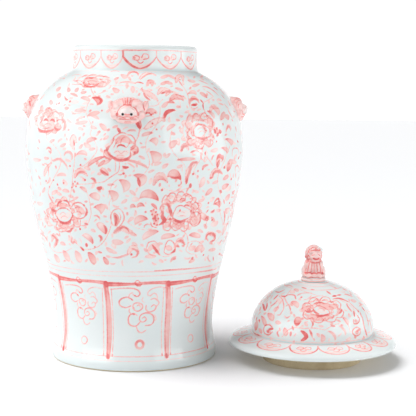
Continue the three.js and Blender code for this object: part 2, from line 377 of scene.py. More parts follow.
class Turned:
    """A closed turned piece on a fine grid. profile: the (r, z) points in order outside, then round the inside."""

    def __init__(self, name, profile, cols, axis, flat_rows=()):
        prof = np.asarray(profile, float)
        self.name, self.axis, self.cols = name, axis, cols
        start_pole, end_pole = prof[0, 0] < 1e-6, prof[-1, 0] < 1e-6
        ring = prof[(1 if start_pole else 0):(len(prof) - 1 if end_pole else len(prof))]
        rows = len(ring)
        phi = np.arange(cols) * 2 * math.pi / cols
        x = ring[:, 0][:, None] * np.sin(phi)[None]
        y = -ring[:, 0][:, None] * np.cos(phi)[None]
        z = np.repeat(ring[:, 1][:, None], cols, 1)
        self.points = np.stack([x, y, z], axis=2).reshape(-1, 3)
        self.rows = rows
        idx = np.arange(rows * cols).reshape(rows, cols)
        nxt = np.roll(idx, -1, axis=1)
        quads = np.stack([idx[:-1], nxt[:-1], nxt[1:], idx[1:]], axis=-1).reshape(-1, 4)
        faces = [quads]
        self.flat = np.zeros((rows - 1, cols), bool)
        for a, b in flat_rows:
            self.flat[a:b] = True
        verts = [self.points]
        n = rows * cols
        if not start_pole and not end_pole:
            faces[0] = np.vstack([quads, np.stack([idx[-1], nxt[-1], nxt[0], idx[0]], axis=-1)])
            self.flat = np.vstack([self.flat, np.zeros((1, cols), bool)])
        if start_pole:
            verts.append(np.array([[0, 0, prof[0, 1]]]))
            faces.append(np.stack([np.full(cols, n), nxt[0], idx[0]], axis=-1))
            n += 1
        if end_pole:
            verts.append(np.array([[0, 0, prof[-1, 1]]]))
            faces.append(np.stack([idx[-1], nxt[-1], np.full(cols, n)], axis=-1))
            n += 1
        self.all = np.vstack(verts)
        self.ob = new_object(name, self.all, faces, axis)
        self.ring = ring

    def canvas(self, first, last):
        """A canvas over rows first..last of the ring."""
        self.span = (first, last)
        p = self.points.reshape(self.rows, self.cols, 3)[first:last].reshape(-1, 3)
        self.paper = Canvas(p, (last - first, self.cols))
        return self.paper

    def finish(self, extra=None):
        n = len(self.all)
        first, last = self.span
        a, b = first * self.cols, last * self.cols
        for layer in ("line", "wash"):
            d = np.full(n, FAR, np.float32)
            t = np.zeros(n, np.float32)
            d[a:b], t[a:b] = self.paper.d[layer], self.paper.a[layer]
            attribute(self.ob, layer + "_d", d)
            attribute(self.ob, layer + "_a", t)
        for key, values in (extra or {}).items():
            attribute(self.ob, key, values)


def sharp_ring(ob, picks):
    """Marks whole turned rows of edges sharp, where flat clay meets the wall, so shading doesn't bleed over the corner."""
    me = ob.data
    at = me.attributes.get("sharp_edge") or me.attributes.new("sharp_edge", "BOOLEAN", "EDGE")
    ev = np.empty(len(me.edges) * 2, np.int32)
    me.edges.foreach_get("vertices", ev)
    ev = ev.reshape(-1, 2)
    mark = np.zeros(len(ev), bool)
    for lo, hi in picks:
        mark |= ((ev >= lo) & (ev < hi)).all(1)
    at.data.foreach_set("value", mark)

# ------------------------------------------------------------------ materials
def srgb(r, g, b):
    f = lambda c: (c / 255.0) / 12.92 if c / 255.0 <= 0.04045 else ((c / 255.0 + 0.055) / 1.055) ** 2.4
    return (f(r), f(g), f(b), 1.0)


class Nodes:
    def __init__(self, name):
        self.mat = bpy.data.materials.new(name)
        self.mat.use_nodes = True
        self.t = self.mat.node_tree
        self.t.nodes.clear()
        self.out = self.t.nodes.new("ShaderNodeOutputMaterial")
        self.bsdf = self.t.nodes.new("ShaderNodeBsdfPrincipled")
        self.t.links.new(self.bsdf.outputs[0], self.out.inputs[0])

    def link(self, a, b):
        self.t.links.new(a, b)

    def attr(self, name):
        n = self.t.nodes.new("ShaderNodeAttribute")
        n.attribute_name = name
        return n.outputs["Fac"]

    def coords(self):
        n = self.t.nodes.new("ShaderNodeTexCoord")
        return n.outputs["Object"]

    def noise(self, vec, scale, detail=2.0, rough=0.5, out="Fac"):
        n = self.t.nodes.new("ShaderNodeTexNoise")
        n.inputs["Scale"].default_value = scale
        n.inputs["Detail"].default_value = detail
        n.inputs["Roughness"].default_value = rough
        self.link(vec, n.inputs["Vector"])
        return n.outputs[out]

    def voronoi(self, vec, scale, feature="F1"):
        n = self.t.nodes.new("ShaderNodeTexVoronoi")
        n.feature = feature
        n.inputs["Scale"].default_value = scale
        self.link(vec, n.inputs["Vector"])
        return n.outputs["Distance"]

    def math(self, op, a, b=None, c=None, clamp=False):
        n = self.t.nodes.new("ShaderNodeMath")
        n.operation = op
        n.use_clamp = clamp
        for i, v in enumerate((a, b, c)):
            if v is None:
                continue
            if isinstance(v, (int, float)):
                n.inputs[i].default_value = v
            else:
                self.link(v, n.inputs[i])
        return n.outputs[0]

    def ramp(self, fac, stops, mode="LINEAR"):
        n = self.t.nodes.new("ShaderNodeValToRGB")
        n.color_ramp.interpolation = mode
        while len(n.color_ramp.elements) < len(stops):
            n.color_ramp.elements.new(0.5)
        for e, (pos, col) in zip(n.color_ramp.elements, stops):
            e.position = pos
            e.color = col
        self.link(fac, n.inputs[0])
        return n.outputs[0]

    def step(self, x, lo, hi, y0=0.0, y1=1.0):
        n = self.t.nodes.new("ShaderNodeMapRange")
        n.interpolation_type = "SMOOTHSTEP"
        for i, v in enumerate((lo, hi, y0, y1)):
            n.inputs[i + 1].default_value = v
        self.link(x, n.inputs[0])
        return n.outputs[0]

    def mix(self, fac, a, b):
        n = self.t.nodes.new("ShaderNodeMix")
        n.data_type = "RGBA"
        for sock, v in ((n.inputs[0], fac), (n.inputs[6], a), (n.inputs[7], b)):
            if isinstance(v, (tuple, float, int)):
                sock.default_value = v
            else:
                self.link(v, sock)
        return n.outputs[2]

    def bump(self, height, distance, strength=1.0, normal=None):
        n = self.t.nodes.new("ShaderNodeBump")
        n.inputs["Strength"].default_value = strength
        n.inputs["Distance"].default_value = distance
        self.link(height, n.inputs["Height"])
        if normal is not None:
            self.link(normal, n.inputs["Normal"])
        return n.outputs[0]


GLAZE_THIN = srgb(239, 243, 242)
GLAZE_POOL = srgb(222, 233, 234)
PINK = [(0.0, srgb(246, 241, 239)), (0.14, srgb(250, 227, 223)), (0.34, srgb(248, 201, 197)), (0.58, srgb(244, 165, 161)),
        (0.80, srgb(238, 128, 126)), (1.0, srgb(228, 96, 96))]
CLAY = (srgb(226, 212, 180), srgb(204, 186, 150))


def glazed(name, relief=False, speck=False):
    """Clear glaze over white porcelain with underglaze pink: crisp line edges, washes that granulate, slow glaze waves."""
    k = Nodes(name)
    co = k.coords()
    fine = k.noise(co, 900.0, 3.0, 0.6)          # pigment grain, about 1 mm
    soft = k.noise(co, 160.0, 2.0, 0.5)          # puddling inside a wash, about 6 mm
    edge = k.noise(co, 520.0, 2.0, 0.55)         # hand-drawn edge wobble
    wob = k.math("MULTIPLY", k.math("SUBTRACT", edge, 0.5), 0.9)
    line_d = k.math("ADD", k.attr("line_d"), wob)
    wash_d = k.math("ADD", k.attr("wash_d"), k.math("MULTIPLY", wob, 0.7))
    line = k.step(line_d, 0.42, -0.30)
    line = k.math("MULTIPLY", line, k.attr("line_a"))
    line = k.math("MULTIPLY", line, k.step(soft, 0.30, 0.70, 0.78, 1.12))
    body = k.step(wash_d, 0.62, -0.72)
    rim = k.math("SUBTRACT", 1.0, k.step(k.math("ABSOLUTE", k.math("ADD", wash_d, 0.55)), 0.1, 0.9))
    wash = k.math("MULTIPLY", body, k.attr("wash_a"))
    wash = k.math("MULTIPLY", wash, k.step(soft, 0.25, 0.75, 0.80, 1.18))
    wash = k.math("MULTIPLY", wash, k.step(fine, 0.2, 0.8, 0.90, 1.08))
    wash = k.math("ADD", wash, k.math("MULTIPLY", k.math("MULTIPLY", rim, body), k.math("MULTIPLY", k.attr("wash_a"), 0.22)))
    ink = k.math("SUBTRACT", 1.0, k.math("MULTIPLY", k.math("SUBTRACT", 1.0, line, clamp=True), k.math("SUBTRACT", 1.0, wash, clamp=True)), clamp=True)
    pink = k.ramp(ink, PINK)
    # Glaze: a little bluer and greener where it lies thick.
    wave = k.noise(co, 22.0, 2.0, 0.5)
    pool = k.math("ADD", k.attr("pool"), k.step(wave, 0.30, 0.80, 0.25, 0.55), clamp=True)
    white = k.mix(pool, GLAZE_THIN, GLAZE_POOL)
    cover = k.step(ink, 0.0, 0.16)
    colour = k.mix(cover, white, pink)
    if relief or speck:
        black = k.step(k.attr("black"), 0.15, 0.6)
        colour = k.mix(black, colour, srgb(26, 18, 20))
    # Bare clay where the glaze is wiped off a foot.
    bare = k.step(k.math("ADD", k.attr("bare"), k.math("MULTIPLY", k.math("SUBTRACT", fine, 0.5), 0.5)), 0.42, 0.58)
    clay = k.mix(k.noise(co, 420.0, 4.0, 0.65), CLAY[0], CLAY[1])
    colour = k.mix(bare, colour, clay)
    k.link(colour, k.bsdf.inputs["Base Color"])
    rough = k.math("ADD", k.step(fine, 0.3, 0.8, 0.07, 0.105), k.math("MULTIPLY", bare, 0.62))
    k.link(rough, k.bsdf.inputs["Roughness"])
    k.bsdf.inputs["IOR"].default_value = 1.5
    k.bsdf.inputs["Specular IOR Level"].default_value = 0.5
    k.bsdf.inputs["Subsurface Weight"].default_value = 0.0
    # Slow throwing waves, orange peel of the glaze, grain of the bare clay.
    waves = k.bump(k.noise(co, 26.0, 1.0, 0.4), 0.0011)
    peel = k.bump(k.noise(co, 260.0, 2.0, 0.5), 0.00005, 1.0, waves)
    grit = k.bump(k.math("MULTIPLY", k.noise(co, 1400.0, 3.0, 0.7), bare), 0.0003, 1.0, peel)
    k.link(grit, k.bsdf.inputs["Normal"])
    return k.mat


def bare_clay(name):
    k = Nodes(name)
    co = k.coords()
    grain = k.noise(co, 480.0, 4.0, 0.65)
    stain = k.noise(co, 45.0, 3.0, 0.55)
    colour = k.mix(grain, CLAY[0], CLAY[1])
    colour = k.mix(k.step(stain, 0.45, 0.75, 0.0, 0.45), colour, srgb(168, 140, 98))
    # Turning lines left by the trimming tool, and a few dark iron specks.
    sep = k.t.nodes.new("ShaderNodeSeparateXYZ")
    k.link(co, sep.inputs[0])
    lines = k.math("SINE", k.math("MULTIPLY", sep.outputs[2], 5200.0))
    specks = k.step(k.voronoi(co, 240.0), 0.085, 0.05)
    colour = k.mix(k.math("MULTIPLY", specks, 0.6), colour, srgb(92, 66, 48))
    k.link(colour, k.bsdf.inputs["Base Color"])
    k.bsdf.inputs["Roughness"].default_value = 0.82
    k.bsdf.inputs["Specular IOR Level"].default_value = 0.3
    b1 = k.bump(lines, 0.00008)
    b2 = k.bump(grain, 0.00028, 1.0, b1)
    k.link(b2, k.bsdf.inputs["Normal"])
    return k.mat

# ------------------------------------------------------------------ turned pieces
COLS = 768
OUT_STEP = 1.0

painted = glazed("painted_porcelain")
clay = bare_clay("bare_biscuit")


def dress(ob, mat, body, nodes):
    ob.data.materials.clear()
    ob.data.materials.append(mat)
    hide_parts(*nodes)
    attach(ob, body)
    return ob


def thin(points, step):
    return smooth(points, step)


def below(side, z):
    part = side[side[:, 1] < z - 0.25]
    return np.vstack([part, [[np.interp(z, side[:, 1], side[:, 0]), z]]])


def between(side, z0, z1):
    part = side[(side[:, 1] > z0 + 0.25) & (side[:, 1] < z1 - 0.25)]
    f = lambda z: np.interp(z, side[:, 1], side[:, 0])
    return np.vstack([[[f(z0), z0]], part, [[f(z1), z1]]])


def ring_picks(turned, rows):
    return [(r * turned.cols, (r + 1) * turned.cols) for r in rows]


WALL1 = smooth(WALL_PTS, OUT_STEP)
foot = smooth([(88.0, 0.0), (90.4, 0.0), (91.8, 0.12), (93.0, 0.7), (93.9, 2.2), (94.2, 4.6)], 0.35)
low_out = join(foot[:-1], below(WALL1[WALL1[:, 1] > 4.4], SEAM))
low_base = join(smooth([(0, 5.5), (40, 5.5), (76, 5.5), (80.6, 5.3)], 4.0), smooth([(80.6, 5.3), (82.6, 4.4), (83.2, 2.0), (83.8, 0.5), (85.0, 0.0), (88.0, 0.0)], 0.4))
low_in = join([(low_out[-1][0] - 5.6, SEAM)], smooth([(low_out[-1][0] - 5.6, SEAM), (88.7, 80), (84.6, 50), (84.4, 34), (82.4, 22), (76.5, 15.2), (66, 12.7), (40, 12.5), (0, 12.5)], 3.5)[1:])
low_prof = join(low_base, low_out, low_in)
lower = Turned("jar_wall_lower", low_prof, COLS, (JX, JY))
n_base, n_out = len(low_base) - 1, len(low_out)          # the axis point of the base is a pole
seam_row = n_base - 2 + n_out
lower.canvas(n_base - 1, seam_row + 1)
sharp_ring(lower.ob, ring_picks(lower, [seam_row - 0, seam_row + 1]))

up_out = between(WALL1, SEAM, NECK)
up_in = smooth([(63.2, NECK), (66, 318.4), (79, 310.8), (91, 301.6), (101, 290), (108.6, 277.6), (114.2, 261), (116.7, 237),
                (115.2, 214), (109.6, 176.5), (102.2, 142), (up_out[0][0] - 5.6, SEAM)], 4.0)
up_prof = join(up_out, up_in)
upper = Turned("jar_wall_upper", up_prof, COLS, (JX, JY))
upper.canvas(0, len(up_out))
sharp_ring(upper.ob, ring_picks(upper, [0, len(up_out) - 1, len(up_out), len(up_prof) - 1]))

COLLAR1 = smooth(COLLAR_PTS, 0.55)
lip_in = smooth([(65.8, 350.0), (64.6, 349.8), (63.6, 349.0), (63.25, 347.4), (63.2, 343.0), (63.2, 332.0), (63.2, NECK)], 1.2)
neck_prof = join(COLLAR1, lip_in)
neck = Turned("jar_neck", neck_prof, 640, (JX, JY))
neck.canvas(0, len(COLLAR1))
sharp_ring(neck.ob, ring_picks(neck, [0, len(neck_prof) - 1]))
JAR_PAPERS = [lower.paper, upper.paper, neck.paper]

# Lid: dome, flange and locating ring.
DOME1 = smooth(DOME_PTS, 0.75)
dome_in = smooth([(0, 83.8), (14, 83.4), (23, 81.4), (32, 78.2), (41, 73.4), (49, 67), (55, 60.2), (59.8, 52.4), (62.8, 44.6), (63.8, 38), (62.4, 31)], 3.5)
dome_prof = join(dome_in, [(68.0, 31.0)], DOME1[1:])
dome = Turned("lid_bell", dome_prof, 640, (LX, LY))
first = len(dome_in) - 1
dome.canvas(first, len(dome.ring))
sharp_ring(dome.ob, ring_picks(dome, [first - 1, first]))

FL1 = smooth(FLANGE_PTS, 0.6)
fl_under = join(smooth([(49.4, 24.0), (57.8, 24.0), (70, 24.0), (80.4, 24.0)], 1.6), smooth([(80.4, 24.0), (83.6, 23.5), (88.0, 21.4), (91.2, 19.0), (93.0, 18.4)], 0.6))
fl_prof = join(fl_under, FL1, smooth([(68.0, 31.0), (62.0, 31.0), (60.0, 30.8), (55.8, 28.8), (49.4, 24.0)], 2.5)[:-1])
flange = Turned("lid_brim", fl_prof, 768, (LX, LY))
f0 = len(fl_under) - 1
flange.canvas(0, f0 + len(FL1))
sharp_ring(flange.ob, ring_picks(flange, [f0 + len(FL1) - 1]))

ring_prof = join(smooth([(49.6, 1.4), (49.9, 0.4), (50.8, 0.0), (54.2, 0.0), (55.3, 0.4), (55.8, 1.6)], 0.4),
                 smooth([(55.8, 1.6), (56.1, 8.0), (56.6, 16.0), (57.0, 22.4), (57.8, 23.98)], 0.9),
                 [(53.5, 23.98), (49.2, 23.98)], smooth([(49.2, 23.98), (49.4, 14.0), (49.6, 1.4)], 2.0)[:-1])
locating = Turned("lid_ring", ring_prof, 512, (LX, LY))

plinth_prof = join([(0, 89.5), (8.0, 89.5)], smooth([(12.4, 89.5), (13.5, 89.9), (14.0, 90.9), (13.9, 92.2), (13.5, 93.3), (12.6, 94.1), (11.4, 94.4)], 0.4), [(6.0, 94.4), (0, 94.4)])
plinth = Turned("finial_base", plinth_prof, 160, (LX, LY))
plinth.canvas(1, len(plinth.ring) - 1)

# ------------------------------------------------------------------ modelled pieces
def icosphere(level):
    t = (1 + 5 ** 0.5) / 2
    v = [(-1, t, 0), (1, t, 0), (-1, -t, 0), (1, -t, 0), (0, -1, t), (0, 1, t), (0, -1, -t), (0, 1, -t), (t, 0, -1), (t, 0, 1), (-t, 0, -1), (-t, 0, 1)]
    f = [(0, 11, 5), (0, 5, 1), (0, 1, 7), (0, 7, 10), (0, 10, 11), (1, 5, 9), (5, 11, 4), (11, 10, 2), (10, 7, 6), (7, 1, 8),
         (3, 9, 4), (3, 4, 2), (3, 2, 6), (3, 6, 8), (3, 8, 9), (4, 9, 5), (2, 4, 11), (6, 2, 10), (8, 6, 7), (9, 8, 1)]
    v = [np.array(p, float) / np.linalg.norm(p) for p in v]
    for _ in range(level):
        cache, g = {}, []

        def mid(a, b):
            key = (min(a, b), max(a, b))
            if key not in cache:
                p = v[a] + v[b]
                v.append(p / np.linalg.norm(p))
                cache[key] = len(v) - 1
            return cache[key]
        for a, b, c in f:
            ab, bc, ca = mid(a, b), mid(b, c), mid(c, a)
            g += [(a, ab, ca), (b, bc, ab), (c, ca, bc), (ab, bc, ca)]
        f = g
    return np.array(v), np.array(f)


BALL_V, BALL_F = icosphere(3)


def lump(centre, radii, tilt=0.0, yaw=0.0, roll=0.0):
    """One ball of clay: an ellipsoid rolled about Y, tilted about X and turned about Z (degrees)."""
    p = BALL_V * np.array(radii)
    for ang, (i, j) in ((roll, (2, 0)), (tilt, (1, 2)), (yaw, (0, 1))):
        c, s = math.cos(math.radians(ang)), math.sin(math.radians(ang))
        a, b = p[:, i].copy(), p[:, j].copy()
        p[:, i], p[:, j] = a * c - b * s, a * s + b * c
    return p + np.array(centre)


def fused(name, lumps, voxel, passes, axis):
    """Balls of clay pressed into one skin; returns mm points in the lumps' own frame and the faces. axis: not used."""
    v = np.vstack(lumps)
    f = np.vstack([BALL_F + k * len(BALL_V) for k in range(len(lumps))])
    ob = new_object(name + "_raw", v, f, (0, 0))
    ob.scale = (1, 1, 1)
    mod = ob.modifiers.new("skin", "REMESH")
    mod.mode = "VOXEL"
    mod.voxel_size = voxel * MM
    mod.adaptivity = 0
    sm = ob.modifiers.new("ease", "SMOOTH")
    sm.factor, sm.iterations = 0.5, passes
    bpy.context.view_layer.update()
    dg = bpy.context.evaluated_depsgraph_get()
    me = bpy.data.meshes.new_from_object(ob.evaluated_get(dg), depsgraph=dg)
    n = len(me.vertices)
    co = np.empty(n * 3, np.float32)
    me.vertices.foreach_get("co", co)
    co = co.reshape(-1, 3).astype(float) / MM
    polys = np.empty(len(me.loops), np.int32)
    me.loops.foreach_get("vertex_index", polys)
    tot = np.empty(len(me.polygons), np.int32)
    me.polygons.foreach_get("loop_total", tot)
    quads = polys.reshape(-1, 4) if (tot == 4).all() else None
    if quads is None:
        start = np.concatenate([[0], np.cumsum(tot)[:-1]])
        faces = [np.array([polys[s:s + t] for s, t in zip(start, tot) if t == size]) for size in sorted(set(tot))]
    else:
        faces = [quads]
    # Keep only the outer skin: the body that holds the most vertices.
    label = np.arange(n)
    edges = np.empty(len(me.edges) * 2, np.int32)
    me.edges.foreach_get("vertices", edges)
    edges = edges.reshape(-1, 2)
    while True:
        low = np.minimum(label[edges[:, 0]], label[edges[:, 1]])
        before = label.copy()
        np.minimum.at(label, edges[:, 0], low)
        np.minimum.at(label, edges[:, 1], low)
        label = label[label]
        if (label == before).all():
            break
    values, counts = np.unique(label, return_counts=True)
    keep = label == values[counts.argmax()]
    remap = np.cumsum(keep) - 1
    faces = [remap[g[keep[g[:, 0]]]] for g in faces]
    co = co[keep]
    bpy.data.objects.remove(ob)
    bpy.data.meshes.remove(me)
    return co, faces


def normals_of(co, faces):
    n = np.zeros_like(co)
    for g in faces:
        a, b, c = co[g[:, 0]], co[g[:, 1]], co[g[:, 2]]
        f = np.cross(b - a, c - a)
        if g.shape[1] == 4:
            d = co[g[:, 3]]
            f = np.cross(c - a, d - b)
        for k in range(g.shape[1]):
            np.add.at(n, g[:, k], f)
    return n / np.maximum(np.linalg.norm(n, axis=1), 1e-9)[:, None]


def press(co, faces, strokes):
    """Cuts grooves (negative) or raises ridges along polylines: (points, half width, depth)."""
    nrm = normals_of(co, faces)
    move = np.zeros(len(co))
    for pts, half, depth in strokes:
        cv = Canvas(co)
        cv.brush("line", bezier3(pts), 0.0, 1.0)
        d = cv.d["line"]
        amount = depth * np.exp(-(np.maximum(d, 0) / half) ** 2)
        move = np.where(np.abs(amount) > np.abs(move), amount, move) if depth < 0 else move + amount
    return co + nrm * move[:, None]


def bezier3(points, n=14):
    p = np.asarray(points, float)
    if len(p) == 1:
        return np.vstack([p, p + 1e-3])
    return bezier(p, n)


def paint_points(cv, co, pts3, width, ink, layer="line"):
    """A stroke near a modelled surface: its points are first drawn onto the nearest skin."""
    p = bezier3(pts3)
    near = np.array([co[np.argmin(((co - q) ** 2).sum(1))] for q in p])
    cv.brush(layer, near, width, ink)


# Lion mask, modelled facing -Y on the front of the jar (mm about the jar's axis).
MZ = 281.0
mask_lumps = [
    lump((0, -108.4, MZ + 0.2), (20.0, 14.8, 14.2)), lump((0, -111.0, MZ - 3.2), (17.8, 12.4, 10.8)),
    lump((-9.4, -113.6, MZ + 4.6), (7.2, 7.9, 6.4), roll=-12), lump((9.4, -113.6, MZ + 4.6), (7.2, 7.9, 6.4), roll=12),
    lump((0, -113.0, MZ + 8.4), (6.0, 7.4, 5.6)),
    lump((0, -118.6, MZ - 0.2), (9.4, 8.2, 7.0)), lump((0, -120.4, MZ + 1.6), (6.6, 6.6, 4.4)),
    lump((-4.2, -121.8, MZ - 2.9), (3.7, 4.7, 3.2)), lump((4.2, -121.8, MZ - 2.9), (3.7, 4.7, 3.2)),
    lump((-11.4, -114.0, MZ - 3.6), (6.8, 7.0, 6.8)), lump((11.4, -114.0, MZ - 3.6), (6.8, 7.0, 6.8)),
    lump((0, -118.0, MZ - 6.2), (10.6, 6.4, 3.2)), lump((0, -116.6, MZ - 9.6), (12.0, 6.0, 4.0)),
    lump((-17.2, -107.6, MZ + 3.8), (3.9, 7.0, 7.0), roll=-14), lump((17.2, -107.6, MZ + 3.8), (3.9, 7.0, 7.0), roll=14),
]
mask_co, mask_faces = fused("mask", mask_lumps, 0.5, 18, (0, 0))
GROOVES = [
    ([(-8.6, -121, MZ + 0.6), (-6.0, -122, MZ + 4.6), (0, -123, MZ + 6.6), (6.0, -122, MZ + 4.6), (8.6, -121, MZ + 0.6)], 0.8, -0.55),   # over the snout
    ([(-10.4, -118, MZ - 7.8), (0, -124, MZ - 8.5), (10.4, -118, MZ - 7.8)], 0.75, -1.0),                                        # mouth
    ([(-7.6, -124, MZ - 5.0), (0, -128, MZ - 5.5), (7.6, -124, MZ - 5.0)], 0.6, -0.6),
    ([(0, -127, MZ - 5.4), (0, -128, MZ - 1.6)], 0.5, -0.4),
    ([(-2.6, -118, MZ + 6.8), (-3.4, -116, MZ + 13.5)], 0.55, -0.6), ([(2.6, -118, MZ + 6.8), (3.4, -116, MZ + 13.5)], 0.55, -0.6),
    ([(0, -119, MZ + 7.2), (0, -116, MZ + 14.5)], 0.5, -0.6),
    ([(-17.0, -113, MZ + 8.6), (-15.2, -115, MZ + 3.0), (-15.4, -115, MZ - 1.4)], 0.7, -0.7),
    ([(17.0, -113, MZ + 8.6), (15.2, -115, MZ + 3.0), (15.4, -115, MZ - 1.4)], 0.7, -0.7),
    ([(-15.2, -117, MZ + 8.6), (-9.6, -122, MZ + 9.9), (-4.4, -120, MZ + 7.8)], 0.6, -0.35), ([(15.2, -117, MZ + 8.6), (9.6, -122, MZ + 9.9), (4.4, -120, MZ + 7.8)], 0.6, -0.35),
    ([(-4.1, -126.5, MZ - 3.0)], 0.7, -0.7), ([(4.1, -126.5, MZ - 3.0)], 0.7, -0.7),
]
mask_co = press(mask_co, mask_faces, GROOVES)
# The back is pressed flat onto the wall and luted just into it.
r = np.hypot(mask_co[:, 0], mask_co[:, 1])
wall_r = np.interp(mask_co[:, 2], JAR_SIDE[:, 1], JAR_SIDE[:, 0]) - 0.9
k = np.maximum(wall_r / r, 1.0)
mask_co[:, 0] *= k
mask_co[:, 1] *= k

masked = glazed("washed_porcelain", relief=True)


def paint_mask(seed):
    cv = Canvas(mask_co)
    jig = np.random.default_rng(seed)
    j = lambda pts: [(x + jig.uniform(-.4, .4), y, z + jig.uniform(-.35, .35)) for x, y, z in pts]
    P = lambda pts, w, ink, layer="line": paint_points(cv, mask_co, j(pts), w, ink, layer)
    # mane over the forehead
    for x, t in ((-4.8, .44), (-2.6, .60), (0.0, .62), (2.4, .66), (4.8, .48)):
        P([(x * .74, -121, MZ + 7.0), (x * 1.0, -118, MZ + 10.4), (x * 1.3, -114, MZ + 14.2)], 0.5, t)
    P([(0, -121, MZ + 7.6), (0, -116, MZ + 13.2)], 4.6, .34, "wash")
    P([(-3.8, -122, MZ + 6.9), (0, -123, MZ + 7.3), (3.8, -122, MZ + 6.9)], 0.7, .88)
    # the arch over the snout and down its sides
    P([(-9.6, -118, MZ - 4.0), (-8.8, -120, MZ + 0.6), (-6.4, -122, MZ + 4.6), (-3.6, -123, MZ + 6.8)], 0.6, .60)
    P([(9.6, -118, MZ - 3.0), (8.2, -120, MZ + 1.4), (5.6, -122, MZ + 4.0), (3.8, -123, MZ + 6.6)], 0.85, .66)
    P([(-7.0, -122, MZ - 1.0), (-5.6, -124, MZ + 2.6), (0, -125, MZ + 4.4), (5.6, -124, MZ + 2.4), (7.0, -122, MZ - 1.0)], 0.4, .34)
    P([(-6.6, -124, MZ + 0.6), (0, -126, MZ + 2.0), (6.6, -124, MZ + 0.6)], 3.0, .12, "wash")
    for s in (-1, 1):
        # ear outlines and the strands of the mane behind them
        P([(s * 6.4, -116, MZ + 12.8), (s * 12.4, -113, MZ + 12.6), (s * 17.8, -110, MZ + 8.8), (s * 19.8, -107, MZ + 2.6), (s * 18.4, -108, MZ - 4.4), (s * 12.8, -111, MZ - 11.4)], 0.5, .52)
        P([(s * 8.0, -118, MZ + 11.0), (s * 13.2, -116, MZ + 9.8), (s * 16.6, -113, MZ + 5.0), (s * 16.8, -112, MZ - 1.6), (s * 13.8, -113, MZ - 7.6)], 0.46, .40)
        P([(s * 15.0, -114, MZ + 8.0), (s * 17.6, -111, MZ + 4.4), (s * 18.0, -110, MZ - 1.0)], 1.5, .28, "wash")
        P([(s * 17.0, -110, MZ - 2.6), (s * 15.6, -112, MZ - 6.6), (s * 11.6, -113, MZ - 10.4)], 1.8, .36, "wash")
        P([(s * 14.2, -116, MZ + 5.8), (s * 15.0, -115, MZ + 2.8), (s * 15.8, -114, MZ - 0.6)], 0.8 if s > 0 else 0.55, .90 if s > 0 else .60)
        P([(s * 8.4, -121, MZ + 4.8)], 0.9, .30)
        P([(s * 10.0, -119, MZ - 2.6), (s * 10.4, -118, MZ - 3.8)], 1.2, .78 if s < 0 else .56)
        P([(s * 10.8, -118, MZ - 3.0), (s * 14.2, -115, MZ - 3.6)], 2.3, .40, "wash")
        P([(s * 11.6, -118, MZ - 1.6), (s * 14.6, -115, MZ - 3.6), (s * 12.4, -116, MZ - 7.0)], 0.42, .56)
        P([(s * 9.6, -119, MZ - 5.4), (s * 12.6, -116, MZ - 7.2), (s * 10.0, -116, MZ - 9.8)], 0.42, .50)
    # mouth, lips and chin
    P([(-2.0, -126, MZ - 3.6), (0, -126, MZ - 4.2), (2.0, -126, MZ - 3.6)], 1.0, .74)
    P([(-8.4, -121, MZ - 4.6), (0, -124, MZ - 5.4), (8.4, -121, MZ - 4.6)], 1.7, .36, "wash")
    P([(-9.2, -120, MZ - 5.2), (-4.5, -124, MZ - 6.2), (0, -125, MZ - 5.9), (4.5, -124, MZ - 6.2), (9.2, -120, MZ - 5.2)], 0.46, .66)
    P([(-9.8, -118, MZ - 7.0), (0, -122, MZ - 8.0), (9.8, -118, MZ - 7.0)], 0.52, .70)
    P([(-3.6, -123, MZ - 7.0), (-1.6, -123, MZ - 7.2)], 0.5, .85)
    P([(3.0, -123, MZ - 7.0), (5.0, -122, MZ - 6.8)], 0.5, .85)
    P([(-8.4, -117, MZ - 8.8), (0, -120, MZ - 9.8), (8.4, -117, MZ - 8.8)], 2.4, .52, "wash")
    P([(-6.4, -117, MZ - 10.0), (0, -119, MZ - 10.8), (6.4, -117, MZ - 10.0)], 0.7, .84)
    P([(-10.0, -113, MZ - 11.4), (0, -116, MZ - 13.0), (10.0, -113, MZ - 11.4)], 2.2, .44, "wash")
    P([(-12.4, -112, MZ - 10.4), (0, -114, MZ - 13.8), (12.4, -112, MZ - 10.4)], 0.5, .44)
    # the whole relief is tinted, deeper towards its rim
    off = np.hypot(mask_co[:, 0] / 20.5, (mask_co[:, 2] - MZ) / 15.0)
    tint = 0.13 + 0.25 * np.clip((off - 0.45) / 0.5, 0, 1)
    tint *= np.clip((-mask_co[:, 1] - 103.0) / 6.0, 0, 1)
    loose = cv.d["wash"] > -0.7
    cv.a["wash"] = np.where(loose, tint, np.maximum(cv.a["wash"], tint)).astype(np.float32)
    cv.d["wash"] = np.minimum(cv.d["wash"], -2.0)
    black = np.zeros(len(mask_co), np.float32)
    for x in (-4.1, 4.1):
        q = np.array([x + jig.uniform(-.3, .3), -126.4, MZ - 3.0])
        at = mask_co[np.argmin(((mask_co - q) ** 2).sum(1))]
        d = np.linalg.norm(mask_co - at, axis=1)
        black = np.maximum(black, np.clip(2.1 - d / 0.85, 0, 1))
    return cv, black


for side, angle in (("front", 0.0), ("right", 90.0), ("back", 180.0), ("left", 270.0)):
    cv, black = paint_mask(11 + int(angle))
    ob = new_object("lion_mask_" + side + "_glazed", turn(mask_co, angle), mask_faces, (JX, JY))
    for layer in ("line", "wash"):
        attribute(ob, layer + "_d", cv.d[layer])
        attribute(ob, layer + "_a", cv.a[layer])
    attribute(ob, "black", black)
    attribute(ob, "bare", np.zeros(len(black)))
    attribute(ob, "pool", np.full(len(black), .12))
    dress(ob, masked, "jar", ["lion_mask_" + side])

# Seated lion on the lid, facing -Y, its head turned a little to its left (mm about the lid's axis).
HZ = 119.4
HY = 10.0      # degrees the head is turned


def head(pts):
    return turn(np.array(pts, float), HY)


